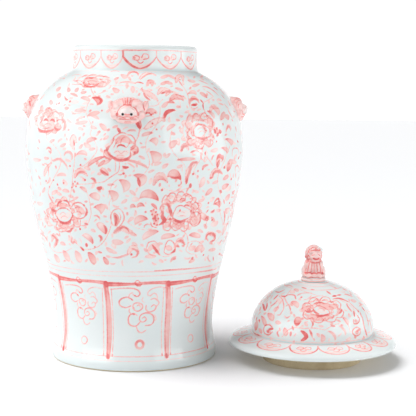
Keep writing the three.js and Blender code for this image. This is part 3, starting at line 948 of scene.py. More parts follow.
lion_lumps = [
    lump((0, 2.2, 103.2), (11.0, 10.0, 12.6)), lump((0, -1.2, 108.6), (9.3, 8.8, 10.0)),
    lump((-7.9, 2.0, 99.4), (5.8, 8.6, 8.0)), lump((7.9, 2.0, 99.4), (5.8, 8.6, 8.0)),
    lump((-7.2, -1.2, 107.4), (3.6, 6.0, 6.4)), lump((7.2, -1.2, 107.4), (3.6, 6.0, 6.4)),
    lump((-5.3, -7.4, 102.8), (3.3, 3.2, 9.6), tilt=4), lump((5.3, -7.4, 102.8), (3.3, 3.2, 9.6), tilt=4),
    lump((-5.7, -9.5, 96.5), (3.8, 3.8, 2.6)), lump((5.7, -9.5, 96.5), (3.8, 3.8, 2.6)),
    lump((0, -6.6, 104.6), (4.0, 3.8, 6.4)), lump((0, -5.4, 98.0), (4.4, 5.4, 4.4)),
    lump((-10.2, -3.0, 96.8), (3.2, 5.2, 3.0)), lump((10.2, -3.0, 96.8), (3.2, 5.2, 3.0)),
    lump((0, -0.4, 96.4), (13.0, 12.2, 4.4)), lump((0, 10.6, 100.4), (3.2, 2.6, 6.0)), lump((0, 11.0, 107.0), (3.8, 2.6, 4.0)),
    lump((0, 0.6, HZ), (9.7, 9.6, 10.6)),
]
face = [((0, -7.4, HZ - 2.0), (5.8, 4.8, 4.4)), ((0, -8.6, HZ + 0.8), (3.4, 3.4, 2.2)), ((-3.8, -6.6, HZ + 3.6), (2.9, 2.6, 2.4)), ((3.8, -6.6, HZ + 3.6), (2.9, 2.6, 2.4)),
        ((0, -7.0, HZ - 5.8), (4.4, 3.6, 2.0)), ((0, -5.4, HZ + 6.2), (3.8, 3.4, 2.4)), ((-7.6, -1.4, HZ + 5.2), (2.0, 2.2, 2.6)), ((7.6, -1.4, HZ + 5.2), (2.0, 2.2, 2.6))]
for c, rr in face:
    lion_lumps.append(lump(head([c])[0], rr, yaw=HY))
curls = []
for ring_y, rad, count, size in ((-3.4, 7.2, 12, 2.1), (0.6, 8.1, 12, 2.3), (4.8, 6.8, 10, 2.5), (8.0, 3.8, 6, 2.5)):
    for kk in range(count):
        ang = 2 * math.pi * (kk + 0.5 * (count % 4 == 0)) / count
        c = (rad * math.sin(ang), ring_y, HZ - 0.2 + rad * 1.06 * math.cos(ang))
        if c[2] < HZ - 8.0 and ring_y < 0:
            continue
        curls.append(head([c])[0])
        lion_lumps.append(lump(curls[-1], (size, size, size)))
lion_co, lion_faces = fused("lion", lion_lumps, 0.42, 8, (0, 0))
H = lambda pts: [tuple(q) for q in head(pts)]
lion_cuts = [
    (H([(-5.6, -10, HZ - 3.4), (0, -12.5, HZ - 4.2), (5.6, -10, HZ - 3.4)]), 0.6, -0.9),
    (H([(-3.7, -9.6, HZ + 3.0)]), 0.8, -0.35), (H([(3.7, -9.6, HZ + 3.0)]), 0.8, -0.35),
    ([(-2.2, -9, 98), (-2.4, -8.6, 106)], 0.6, -0.6), ([(2.2, -9, 98), (2.4, -8.6, 106)], 0.6, -0.6),
    ([(-8.6, -6, 97), (-9.4, -4, 101.5), (-6.6, -5, 105.6)], 0.6, -0.5), ([(8.6, -6, 97), (9.4, -4, 101.5), (6.6, -5, 105.6)], 0.6, -0.5),
    ([(-6.0, -12.6, 95.6), (-6.0, -13, 98)], 0.35, -0.3), ([(-4.4, -12.6, 95.6), (-4.4, -13, 98)], 0.35, -0.3),
    ([(6.0, -12.6, 95.6), (6.0, -13, 98)], 0.35, -0.3), ([(4.4, -12.6, 95.6), (4.4, -13, 98)], 0.35, -0.3),
]
lion_co = press(lion_co, lion_faces, lion_cuts)
lion_co[:, 2] = np.maximum(lion_co[:, 2], 94.2)
top = lion_co[:, 2].max()
lion_co[:, 2] = 94.2 + (lion_co[:, 2] - 94.2) * (130.2 - 94.2) / (top - 94.2)
cv = Canvas(lion_co)
P = lambda pts, w, ink, layer="line": paint_points(cv, lion_co, pts, w, ink, layer)
for n_c, c in enumerate(curls):
    out = c - np.array([0, 0, HZ]) * np.array([0, 0, 1])
    up = c + np.array([0, 0, 0])
    s = 1.7
    P([(c[0] - s, c[1] - s * .3, c[2] - s * .8), (c[0] - s * .4, c[1] - s, c[2] + s), (c[0] + s, c[1] - s * .2, c[2] + s * .4)], 0.48, .40 + .16 * ((n_c * 7) % 3))
P([(0, -4, 118), (0, 0, 104), (0, 2, 98)], 14.0, .20, "wash")
P([(0, 8, 118), (0, 8, 104), (0, 8, 98)], 14.0, .20, "wash")
P(H([(0, -2, HZ + 9), (0, 4, HZ + 9)]), 4.2, .24, "wash")
P(H([(-9, -1, HZ - 2), (-7, -3, HZ - 7)]), 3.0, .42, "wash")
P(H([(9, -1, HZ - 1), (7, -3, HZ - 6)]), 3.0, .34, "wash")
P(H([(-3.2, -12, HZ - 3.7), (0, -12.5, HZ - 4.3), (3.2, -12, HZ - 3.7)]), 1.25, .98)
P(H([(-4.4, -11.6, HZ - 3.2), (4.6, -11.6, HZ - 3.2)]), 0.6, .80)
P(H([(-5.6, -9.2, HZ + 1.4), (-3.6, -10.4, HZ + 0.9), (-1.8, -10.4, HZ + 1.6)]), 0.4, .55)
P(H([(5.6, -9.2, HZ + 1.4), (3.6, -10.4, HZ + 0.9), (1.8, -10.4, HZ + 1.6)]), 0.5, .66)
P(H([(-6.4, -8, HZ + 5.8), (-3.6, -9.4, HZ + 6.6), (-1.0, -9.4, HZ + 5.2)]), 0.55, .62)
P(H([(6.4, -8, HZ + 5.8), (3.6, -9.4, HZ + 6.6), (1.0, -9.4, HZ + 5.2)]), 0.55, .62)
P(H([(0, -8.0, HZ + 8.6), (0, -9.4, HZ + 5.4)]), 0.7, .55)
P(H([(-6.4, -7, HZ - 6.6), (0, -10, HZ - 8.2), (6.4, -7, HZ - 6.6)]), 0.8, .58)
for x, w, t in ((-6.9, .55, .60), (-3.2, .5, .50), (0.0, .45, .34), (3.2, .5, .52), (6.9, .55, .62)):
    P([(x * .8, -9, 111.4), (x, -10, 105), (x * 1.12, -10, 99)], w, t)
P([(-7.4, -6, 103.5), (-8.6, -4, 99), (-8, -6, 97)], 1.6, .42, "wash")
P([(7.4, -6, 103.5), (8.6, -4, 99), (8, -6, 97)], 1.6, .46, "wash")
P([(-9.6, -6, 99.4), (-4, -11, 100.2), (0, -10, 99.6), (4, -11, 100.2), (9.6, -6, 99.4)], 0.9, .62)
P([(-11, -3, 96.0), (-9, -8, 95.4), (-5, -12.6, 95.2), (0, -11, 95.2), (5, -12.6, 95.2), (9, -8, 95.4), (11, -3, 96.0)], 0.6, .55)
P([(-12, 2, 101), (-9, 6, 107), (-8, 4, 111)], 1.4, .44, "wash")
P([(12, 2, 101), (9, 6, 107), (8, 4, 111)], 1.4, .44, "wash")
P([(0, 12, 96), (0, 13, 103), (0, 13, 109)], 0.8, .62)
P([(-3, 11, 104), (-2.4, 12, 109), (0, 12.6, 111)], 0.5, .50)
P([(3, 11, 104), (2.4, 12, 109), (0, 12.6, 111)], 0.5, .50)
P([(-12, 4, 97), (-8, 10, 98), (0, 12.4, 97), (8, 10, 98), (12, 4, 97)], 0.7, .50)
lion = new_object("finial_lion_glazed", lion_co, lion_faces, (LX, LY))
for layer in ("line", "wash"):
    attribute(lion, layer + "_d", cv.d[layer])
    attribute(lion, layer + "_a", np.clip(cv.a[layer] * 1.28, 0, 1))
for key, val in (("black", 0.0), ("bare", 0.0), ("pool", 0.15)):
    attribute(lion, key, np.full(len(lion_co), val))
dress(lion, masked, "lid", ["finial_lion"])

# ------------------------------------------------------------------ brushwork
# Strokes are given where they lie in the camera's frame (416 wide, v down) and carried onto the surface;
# the same painting is repeated half a turn round, as on the real pair of sides.
class Brush:
    def __init__(self, papers, onto, turns=(0.0, 180.0)):
        self.papers, self.onto, self.turns = papers, onto, turns

    def lay(self, layer, uv, width, ink, hollow=None):
        p = self.onto(uv)
        n = len(p)
        width = np.broadcast_to(np.asarray(width, float), (n,))
        for a in self.turns:
            q = turn(p, a) if a else p
            for paper in self.papers:
                paper.brush(layer, q, width, ink, hollow)

    def S(self, pts, w=0.42, i=0.42, i2=None):
        """A thin line."""
        p = bezier(pts, 4 * len(pts) + 4)
        n = len(p)
        t = np.linspace(0, 1, n)
        self.lay("line", p, w * (0.7 + 0.3 * np.sin(math.pi * t)), np.linspace(i, i if i2 is None else i2, n))

    def K(self, pts, w=1.5, i=0.8):
        """A loaded, tapering stroke: dark, thickest in the middle."""
        p = bezier(pts, 4 * len(pts) + 4)
        t = np.linspace(0, 1, len(p))
        self.lay("line", p, w * (0.22 + 0.78 * np.sin(math.pi * t) ** 0.7), i * (0.82 + 0.18 * np.sin(math.pi * t)))

    def W(self, pts, w=3.0, i=0.3, i2=None):
        """A pale wash."""
        p = bezier(pts, 3 * len(pts) + 3) if len(pts) > 1 else np.array([pts[0], (pts[0][0] + .05, pts[0][1])], float)
        t = np.linspace(0, 1, len(p))
        self.lay("wash", p, w * (0.6 + 0.4 * np.sin(math.pi * t)), np.linspace(i, i if i2 is None else i2, len(p)))

    def D(self, x, y, r=1.2, i=0.75):
        self.lay("line", np.array([(x, y), (x + .05, y)]), r, i)

    def F(self, x0, y0, x1, y1, out, inn, i=0.7, pale=0.4):
        """A fan or half-moon leaf from its dark end to its pale end; out and inn are how far the two edges stand off the chord."""
        a, b = np.array([x0, y0], float), np.array([x1, y1], float)
        d = b - a
        side = np.array([-d[1], d[0]]) / max(np.linalg.norm(d), 1e-6)
        o = bezier([a, a + d * .10 + side * out * .50, a + d * .36 + side * out * .93, a + d * .66 + side * out, a + d * .93 + side * out * .64, b], 18)
        n = bezier([a, a + d * .28 + side * inn * .8, a + d * .72 + side * inn, b], 9)
        po, pn = self.onto(o), self.onto(n)
        i = i * 0.88
        for turned in self.turns:
            qo, qn = (turn(po, turned), turn(pn, turned)) if turned else (po, pn)
            for paper in self.papers:
                paper.area("wash", qo, qn, i, pale)

    def O(self, pts, w=3.0, i=0.5, fill=0.16, hw=0.34):
        """A leaf drawn round its edge, with a faint fill."""
        p = bezier(pts, 9)
        t = np.linspace(0, 1, len(p))
        width = w * np.sin(math.pi * np.clip(t * 0.86 + 0.08, 0, 1)) ** 0.75
        self.lay("line", p, width, i, hw)
        if fill:
            self.lay("wash", p, np.maximum(width - 0.3, 0.1), fill)


    def bloom(self, cx, cy, rx, ry, rings, seed):
        """Rows of overlapping petals round a pale heart: (share of the radius, petals, petal height, ink)."""
        rng = np.random.default_rng(seed)
        for row, (f, n, h, i) in enumerate(rings):
            for k in range(n):
                a = 2 * math.pi * (k + 0.5 * (row % 2) + rng.uniform(-.16, .16)) / n
                half = math.pi / n * rng.uniform(.92, 1.18)
                r = f * rng.uniform(.93, 1.07)
                p0 = (cx + rx * r * math.cos(a - half), cy + ry * r * math.sin(a - half))
                p1 = (cx + rx * r * math.cos(a + half), cy + ry * r * math.sin(a + half))
                tall = h * rng.uniform(.8, 1.2)
                tone = i * rng.uniform(.72, 1.25)
                self.F(p0[0], p0[1], p1[0], p1[1], -tall, -tall * .12, tone, .46)
                r2 = r + tall * .92 / max((rx + ry) / 2, 1)
                pm = (cx + rx * r2 * math.cos(a), cy + ry * r2 * math.sin(a))
                self.S([p0, pm, p1], .42, min(tone * 1.15, .8), tone * .7)
                if k % 2 == 0:
                    q0 = (cx + rx * r * math.cos(a), cy + ry * r * math.sin(a))
                    self.S([q0, ((q0[0] + pm[0]) / 2 + .3, (q0[1] + pm[1]) / 2), (cx + rx * (r + r2) / 2 * math.cos(a), cy + ry * (r + r2) / 2 * math.sin(a))], .36, tone)


B = Brush(JAR_PAPERS, on_jar)
S, K, W, D, O, F = B.S, B.K, B.W, B.D, B.O, B.F




# Shoulder, left: first peony and its leaves.
S([(72, 76), (76, 74.5), (81, 75)], .6, .5); S([(72, 81), (78, 80.5), (83, 81.5)], .5, .45); S([(72, 84), (77, 84.5), (82, 84)], .6, .5)
W([(86, 80), (92, 80), (98, 84), (104, 82)], 4.2, .30); W([(97, 83.5), (103, 84)], 2.0, .34)
K([(83, 82.5), (86, 85.6), (90, 86.8), (95.5, 86)], 1.4, .86); K([(89, 77.5), (93, 78.5)], 1.5, .80)
S([(95, 77), (101, 76), (109, 77.5)], .6, .6); S([(96, 79.4), (103, 79), (110, 80)], .5, .5); S([(84, 80), (88, 76.5), (95, 75)], .6, .55)
S([(86, 83), (91, 80.5), (97, 82)], .5, .6); S([(97, 85.5), (102, 87), (107, 85)], .6, .6); S([(103, 81), (107, 83.5), (110, 82)], .5, .5); S([(88, 81), (90, 84), (94, 83.6)], .5, .7)
S([(91, 88), (92, 91.5), (94.5, 95.5)], .5, .55)
K([(92, 98), (96, 97.6), (100, 98.6), (101.5, 101), (100, 103.5), (97, 105)], 1.5, .78)
D(67, 99.8, 1.2, .72); D(70, 101.4, 1.0, .6); D(102, 110.5, 1.1, .7); D(84, 117, 1.0, .6)
S([(94, 95), (88, 104), (86, 112), (89, 120), (92, 127), (90, 134)], .42, .42); S([(86, 112), (79, 113), (72, 114)], .4, .36); S([(94.5, 96), (101, 93), (108, 91)], .4, .4)

# Left edge: second peony.
W([(47, 112), (52, 120), (49, 126), (57, 128)], 5.0, .28); W([(42, 124), (51, 128)], 3.0, .12)
O([(44.5, 113), (48.5, 109.5), (51.5, 114), (48, 117)], 1.6, .6, .22, .4); K([(43.5, 121), (46, 119.4), (48.5, 121.5)], 1.3, .86); K([(50, 121), (52.5, 119.8), (55, 122)], 1.3, .82)
K([(37.5, 127.5), (40.5, 130.8), (46, 131.6), (53.5, 130)], 1.5, .86); K([(54, 126.5), (57, 129.6), (60.5, 129)], 1.3, .70); S([(56, 121), (61, 119.6), (64.5, 123), (63.5, 129)], .6, .6)
S([(40, 123), (43, 118), (42, 113)], .6, .5); S([(52, 113), (57, 112), (60, 117)], .6, .5); S([(44, 125.5), (48, 123.5), (52, 125.5)], .45, .6); S([(40, 127), (45, 128.5), (50, 127.5)], .45, .5); S([(62, 131), (66, 127), (65, 121)], .5, .42)
S([(47, 132), (46.5, 136), (48, 141)], .45, .5)

# Shoulder, middle.
S([(111, 71.5), (115, 70.8), (119, 71.4)], .6, .5)
O([(128, 75), (132, 71.8), (138.5, 73.5)], 1.7, .6); O([(140, 78.5), (147, 73.5), (155.5, 75.5)], 2.5, .58); O([(147, 86), (150.5, 80.8), (155, 84)], 2.1, .5, .34)
S([(119, 83.5), (127, 81.6), (135, 82.5)], .5, .45); S([(135, 83.5), (139, 82), (143, 83.6)], .6, .55); S([(108, 86), (118, 85), (128, 86), (137, 88), (143, 92)], .4, .36)
O([(143, 90), (148, 93), (153, 96.5), (157.5, 100.5)], 3.0, .6, .24); K([(143.5, 92), (146, 97), (151, 100.5)], 1.2, .78)
O([(158, 94), (162, 89), (169, 91), (166, 95.5)], 2.4, .55, .2); K([(161, 93.6), (165, 92.4)], 1.1, .85)
W([(146, 113), (151, 110.5), (156, 112.5)], 2.8, .36); D(149, 113, 1.0, .85); D(153, 113.8, .9, .75); S([(143, 118), (148, 116), (154, 117)], .45, .45)
K([(136.6, 119.5), (137.6, 124), (140.4, 129.5)], 1.8, .86); O([(145, 128.6), (151, 124), (157, 120.6), (162.5, 118.6)], 3.0, .55, .16); D(152.5, 123.4, 1.1, .85)
S([(141, 103), (149, 106), (157, 105), (163, 99)], .42, .4); S([(157, 100), (160, 108), (159, 118), (155, 127), (149, 135)], .42, .42); S([(146, 110), (143, 116), (140, 123)], .42, .42)
D(147.5, 101.5, 1.0, .7); D(156.5, 129.5, 1.1, .75); D(142.5, 109, .9, .7)

# Shoulder, right: third peony and its leaves.
O([(176, 82.6), (177.5, 77), (182, 75.4), (183, 81)], 2.0, .62, .24); D(180, 79.6, 1.0, .8)
S([(180, 82), (184, 88), (187, 93), (188.5, 98), (189, 104.5), (192, 110)], .42, .46)
O([(170, 100.5), (176, 96), (182.5, 99.5)], 2.6, .6, .3); O([(190, 102), (194, 97.6), (198.6, 101)], 2.0, .55, .24); D(194, 105, 1.3, .85)
S([(203.5, 102.5), (208, 100), (213, 97)], .42, .44); K([(203.5, 102.6), (203, 106), (203.8, 109.6)], .9, .85); S([(203.8, 109), (205.2, 112.6), (207, 116.4)], .5, .6)
K([(174.6, 109.6), (168.6, 111), (165.4, 114), (165, 118.6)], 1.9, .84); O([(210, 112), (213, 106.6), (218.6, 108.4)], 2.1, .58, .24); O([(226, 131), (228.6, 126), (231.6, 129)], 1.8, .5, .26)
S([(172, 92), (176, 95), (180, 102), (180, 110)], .4, .38); S([(213, 97), (218, 102), (221, 109)], .4, .4)
W([(189, 118), (199, 118)], 2.8, .22); W([(199, 141), (210, 142)], 3.0, .30); W([(208, 119), (212, 127)], 2.8, .34); W([(189, 140), (197, 143)], 3.0, .24); W([(190, 124), (193, 134)], 3.2, .26)
for px in ((186.5, 121, 189, 115.4, 194, 117.4), (192.5, 118.4, 196, 113.4, 200.6, 117.6), (200, 117.6, 204, 113, 208.6, 117.6)):
    S([(px[0], px[1]), (px[2], px[3]), (px[4], px[5])], .62, .64)
S([(186.5, 121), (186, 126), (190, 129.6)], .62, .6); S([(190, 129.6), (187, 134), (191, 137.6)], .6, .56); K([(208.6, 117.6), (212.4, 121), (211.6, 128)], 1.4, .72)
S([(194, 128.6), (198, 124.6), (204, 124.8), (210, 129.6)], .6, .62); K([(197, 137.2), (202.6, 138.6), (208.6, 136.8)], 1.3, .80); S([(194, 128.6), (194, 134), (197, 137.4)], .6, .6); S([(210, 129.6), (211, 134), (208.6, 137)], .6, .6)
S([(198, 129.6), (201, 127.6), (204, 129.6)], .42, .5); S([(199, 133), (202, 131), (206, 133.4)], .42, .45); S([(196, 121), (199, 119.6), (203, 121.6)], .4, .5); S([(190, 121), (193, 122.6), (193, 126)], .4, .5)
for q in ([(191, 137.6), (187.4, 141), (190, 145.6), (195, 143.6)], [(195, 143.6), (197, 148.6), (203, 147.4), (204, 143)], [(204, 143), (209, 147), (213, 142.6), (210, 138.4)]):
    S(q, .6, .6)
S([(192, 141), (195, 139), (197.4, 141.6)], .4, .5); S([(200, 145), (202, 141.6), (205, 141)], .4, .5); S([(206, 141), (208, 139.6), (210.4, 141)], .4, .5)
for x, y in ((214, 129.6), (216.6, 128.6), (219.4, 130), (215.4, 132.6), (218.4, 133.4), (221, 132), (217, 135.6)):
    D(x, y, 1.1, .84)
W([(215, 131), (219, 132)], 3.0, .4); D(216.5, 141.5, 1.1, .8); D(213, 137, 1.0, .7); D(202, 148.6, 1.2, .8)

# Middle band, left.
O([(74, 149.6), (71.6, 143), (73.4, 137), (76.4, 142)], 2.7, .6, .2); K([(73.6, 139.6), (74.4, 146)], 1.0, .8)
S([(74, 150), (74.5, 160), (73.5, 170), (72.5, 180), (71, 192), (69, 203)], .45, .48)
O([(44.6, 176), (46, 170), (51, 163.4)], 2.1, .58, .2); O([(75, 177), (80, 170.6), (87, 175.4)], 2.7, .6, .26); D(85, 180, 1.3, .84); D(80.5, 165, 1.2, .78); D(70, 166, 1.2, .7)
S([(105, 182), (95, 183), (85, 184), (75, 185), (71, 190)], .45, .46); K([(96.6, 187.6), (99.4, 188.4), (101.4, 187)], 1.9, .88)
for x, y, r in ((46, 181, 1.2), (49.5, 187, 1.1), (53.5, 180, 1.2), (57.5, 184.5, 1.2), (63.5, 183, 1.1), (73, 184, 1.2), (75, 181.6, 1.1), (77.6, 183.4, 1.3), (76, 186.4, 1.1), (71.6, 187.4, 1.0)):
    D(x, y, r, .76)
S([(50, 141), (56, 148), (61, 156), (60, 166), (55, 176), (50, 186), (48, 193)], .42, .42); S([(90, 134), (95, 142), (97, 150), (92, 158), (86, 164), (80, 168), (74, 171)], .42, .42)

# Fourth peony, under the mask.
W([(117, 142), (123, 138.6), (130, 142)], 4.0, .36); W([(116, 152), (121, 154), (127, 152)], 3.6, .13); W([(105, 151), (110, 156)], 2.8, .34); W([(132, 149), (137, 152)], 3.0, .32); W([(114, 158), (124, 158.6)], 2.2, .34)
K([(107, 151), (109, 154.4), (112.6, 157.2), (118, 160), (125, 159.8), (130, 156.8), (130.6, 150)], 1.5, .90); K([(107, 151.6), (107.4, 148.4), (110.4, 145.6)], 1.5, .80)
S([(110.6, 145.4), (113, 141.6), (114, 137), (118.6, 133.8)], .7, .68); S([(118.6, 133.8), (123, 132.6), (127, 134.6)], .7, .66); S([(127, 134.6), (132.6, 136.4), (135.5, 142)], .7, .70); S([(135.5, 142), (134.6, 147), (130.6, 150)], .7, .68)
K([(117, 148.4), (118, 145.8), (121, 145), (124, 146), (127, 148.4)], .95, .92); S([(113, 149), (115.6, 144), (118, 141)], .5, .55); S([(121, 144), (121.6, 139.6), (124.6, 136.4)], .5, .55); S([(127, 147), (129.6, 142.6), (129.6, 139)], .5, .55)
S([(114, 152.6), (118, 151), (121, 153.6), (125, 151), (128, 152.6)], .42, .5); S([(116, 156), (120, 155), (124, 156)], .42, .42)
S([(131, 148), (134.6, 145.6), (138, 148.6), (137.4, 153), (132.6, 155)], .65, .66); D(134.5, 152.5, 1.2, .84); S([(103.6, 154.4), (104.6, 150.6), (107, 151)], .6, .6); K([(103.6, 154.4), (106.6, 158), (112, 158.6)], 1.1, .7)
S([(115, 160), (115.6, 166), (115, 172)], .5, .56); S([(119, 160.6), (119.4, 167), (118, 172), (112, 176), (105, 181), (100, 182.6)], .5, .55); K([(122, 166), (125.6, 167.6), (129, 167)], 1.4, .84)
D(123.5, 173.5, 1.3, .8); K([(100, 169.4), (104, 173), (108.6, 175.4)], 1.7, .82)
K([(138, 177.6), (138.8, 182), (139.8, 186)], 1.7, .84); O([(154, 184), (160, 175.6), (167, 182)], 3.5, .58, .24); D(162, 190, 1.3, .85)
S([(139, 130), (138, 136), (135.5, 142)], .45, .5); S([(149, 135), (146, 142), (146, 150), (149, 158), (149, 166), (144, 174), (138, 178)], .42, .4); S([(118, 179), (113, 183), (110, 190), (108, 198)], .42, .42); S([(145, 128), (140, 131), (139, 137)], .4, .4)

# Middle band, right.
S([(232, 156), (233, 149), (237.6, 148.6), (239, 154.6)], .65, .6); O([(181, 151), (184.4, 145.4), (188.6, 150)], 2.2, .58, .24); S([(190, 153), (195, 150.6), (200, 152.6)], .6, .52)
S([(203, 150), (202, 155), (200, 160)], .42, .5); S([(206, 150), (207.6, 156), (205, 162)], .42, .5); K([(216.8, 167.4), (217.6, 163), (219.4, 160)], .9, .86); K([(216.6, 160), (219.4, 155.8), (222.4, 159.4)], 2.3, .82)
O([(196, 162), (190, 168), (187, 176), (186, 183.4)], 2.4, .54, .2); K([(170, 177), (175, 177.8), (180.6, 177)], 1.3, .86); O([(210, 178), (215.6, 170.6), (222, 173.6)], 2.6, .58, .24)
for x, y in ((193, 174), (198, 171), (224, 167.5), (179, 185.5), (190, 185), (231, 179), (221, 191), (229, 163.6)):
    D(x, y, 1.2, .78)
S([(202, 150), (200, 160), (196, 166), (194, 172), (198, 180), (200, 190)], .42, .44); S([(222, 134), (226, 144), (226, 156), (222, 166), (218, 176), (218, 186), (221, 196)], .42, .42); S([(172, 130), (170, 140), (172, 150), (178, 158), (184, 164), (186, 172)], .42, .4); S([(160, 186), (168, 190), (178, 191), (187, 188)], .42, .42)

# Lower band, left: fifth peony.
W([(60, 206), (66, 205)], 3.4, .38); W([(57, 215), (64, 217), (69, 214)], 4.0, .12); W([(77, 208), (83, 212)], 4.4, .32); W([(60, 226), (68, 227)], 4.2, .30); W([(52, 208), (55, 213)], 3.0, .34); W([(74, 220), (78, 224)], 3.2, .36)
K([(57.6, 207.6), (58.6, 202.8), (63, 201)], 1.2, .84); K([(63, 201), (67.6, 201.6), (69.4, 206.6)], 1.2, .80); K([(50.6, 207.6), (53, 210.4), (57.4, 210.4)], 1.6, .84)
K([(56.6, 216), (58.6, 220), (62, 222.6), (66.6, 223), (70, 221), (71.6, 217)], 1.5, .90); S([(57, 211), (60, 208.6), (66, 208.4), (70.6, 211.6)], .65, .66); S([(70.6, 211.6), (72.4, 215), (71.6, 218)], .65, .66); S([(57, 211), (55.4, 214), (57, 217)], .65, .66)
S([(60, 214.6), (63, 212.4), (66, 214.6)], .42, .5); S([(61, 218), (64, 216), (68, 218)], .42, .45); S([(71.6, 207), (74, 203.4), (80.6, 202.8), (85.6, 207.4)], .7, .64); K([(85.4, 207.4), (86.8, 212.4), (84, 217.4)], 1.3, .84); S([(84, 217.4), (78.6, 218.6), (73.6, 216)], .7, .64)
S([(74, 209), (78, 207), (82, 209.6)], .45, .55); S([(75, 213), (79, 211.6), (82, 214)], .45, .5); S([(72.6, 219.6), (75, 226), (79.6, 226.4), (80.4, 220.6)], .6, .62); S([(57.6, 221.6), (56, 227), (60, 231.6), (66, 231)], .65, .62); K([(66, 231), (70, 231), (72.4, 227.6)], 1.3, .84)
S([(60, 224.6), (62, 228), (66, 227.6)], .42, .5); S([(51, 211), (49.6, 216), (53, 220), (56.6, 219)], .65, .6); S([(48, 193), (50, 197), (53, 203.4)], .7, .55)
for x, y in ((84, 205.4), (80, 229), (87, 224)):
    D(x, y, 1.2, .8)
S([(87, 224), (84, 225.6), (80, 225)], .5, .6)
O([(51.6, 241), (54, 235.6), (57, 240.6), (54, 247)], 2.5, .58, .24); D(86.5, 245, 1.2, .76); D(95, 247, 1.1, .7); D(58, 240, 1.0, .7)
S([(84, 249.5), (92, 249), (99, 246), (104, 241), (108, 234), (111, 225), (111, 213)], .48, .52); S([(70, 231), (72, 238), (78, 245), (84, 249)], .42, .46); S([(72, 248), (64, 252), (56, 252), (50, 247), (47, 240)], .42, .42); S([(88, 224), (91, 214), (90, 204), (88, 195), (84, 188)], .42, .42)

# Lower band, middle: bud and sixth peony.
S([(113.4, 226), (111, 220), (111, 214.6), (114, 210), (119, 208.4)], .65, .6); S([(119, 208.4), (123, 212.6), (124, 219), (120, 226), (114, 231)], .65, .58); W([(114.6, 214), (116.6, 219), (116, 225)], 2.9, .5); K([(114.6, 214.6), (116.4, 220), (115, 226)], 1.3, .86); S([(118, 212), (120.6, 217), (118.6, 224)], .45, .55)
O([(114.6, 233), (121, 228), (128, 231), (135.6, 235.6)], 2.9, .56, .24)
D(145.5, 212, 1.3, .8); D(131.4, 254.4, 1.3, .84); S([(111, 257), (116, 258), (122, 257), (128, 255)], .48, .5); O([(128, 254), (133, 247.6), (138.6, 253)], 2.7, .58, .2); S([(124, 219), (130, 224), (137, 228), (146, 230)], .42, .44); S([(111, 213), (109, 205), (112, 198)], .42, .4)
for x, y in ((151, 211), (153.6, 209.6), (156, 212), (152, 214.6), (155, 216), (157.6, 214.6), (153, 218.6), (156, 220.6), (158.4, 218.6), (154, 223.6), (157, 225)):
    D(x, y, 1.15, .74)
W([(153, 212), (155.6, 218), (156, 224)], 3.4, .34)
K([(160.6, 210), (162.6, 213), (162.2, 218), (164.4, 221.4), (160.4, 224.6)], 1.5, .86)
W([(166, 200), (170, 206)], 3.2, .32); W([(172, 198), (182, 197)], 3.0, .12); W([(176, 213), (184, 214), (189, 213)], 4.2, .10); W([(174, 225), (182, 225.6)], 4.2, .34); W([(193, 217), (197, 222)], 4.2, .34); W([(190, 205), (196, 208)], 3.2, .34); W([(165, 227), (170, 222)], 3.0, .3)
S([(163.6, 208), (162, 202), (165, 195.6), (169, 196.4)], .65, .62); K([(166.6, 202.6), (169.4, 208), (171, 217)], 1.5, .84); S([(169, 196.4), (170, 193.4), (174.6, 193.4), (176.6, 197.6)], .65, .64); S([(167.6, 199.6), (171, 202), (176, 200.6), (177, 196.6)], .6, .58)
S([(176.6, 197.4), (178, 193), (182.6, 191.8), (185.6, 195.6)], .65, .64); S([(177, 200.6), (181, 202), (185, 200), (185.6, 196)], .6, .58); S([(185.6, 195.6), (189.6, 194.6), (192.6, 198.6), (190, 203.6)], .65, .64)
S([(174.6, 211), (177, 206.6), (182, 205.6), (187, 208)], .65, .64); S([(187, 208), (191, 211.6), (189.6, 217.6)], .65, .64); K([(172, 217), (175.6, 220.4), (180.6, 221.6), (188.6, 218)], 1.5, .90); S([(174.6, 211), (173, 214.6), (172.6, 217.6)], .65, .64)
K([(183.6, 206.8), (186.6, 205), (189.6, 206.6)], 1.0, .9); D(180, 210.4, 1.2, .88); D(191, 211, 1.2, .88); S([(192, 204.4), (196.4, 202.4), (198.6, 207), (195, 210.6)], .65, .66); S([(177, 213.6), (181, 211.6), (185, 213.6)], .42, .5); S([(178, 217), (182, 215.6), (186, 216.6)], .42, .45)
S([(172, 219), (170, 225), (174.6, 230.4), (179.6, 228.6)], .65, .62); S([(179.6, 228.6), (184, 231.4), (188.6, 227), (187.6, 220.6)], .65, .62); S([(174.6, 223), (178, 225.6), (182, 224)], .42, .5)
S([(191, 214), (196.4, 211.6), (200.6, 216), (199, 223.6), (193, 226), (189.6, 221.6)], .7, .64); K([(199.6, 216), (200, 221), (197, 225.6)], 1.1, .78); S([(192.6, 217.6), (196, 217), (197, 220.6)], .42, .5); S([(163, 224), (163.6, 229), (168.6, 230.6), (171.4, 226.4)], .65, .6)

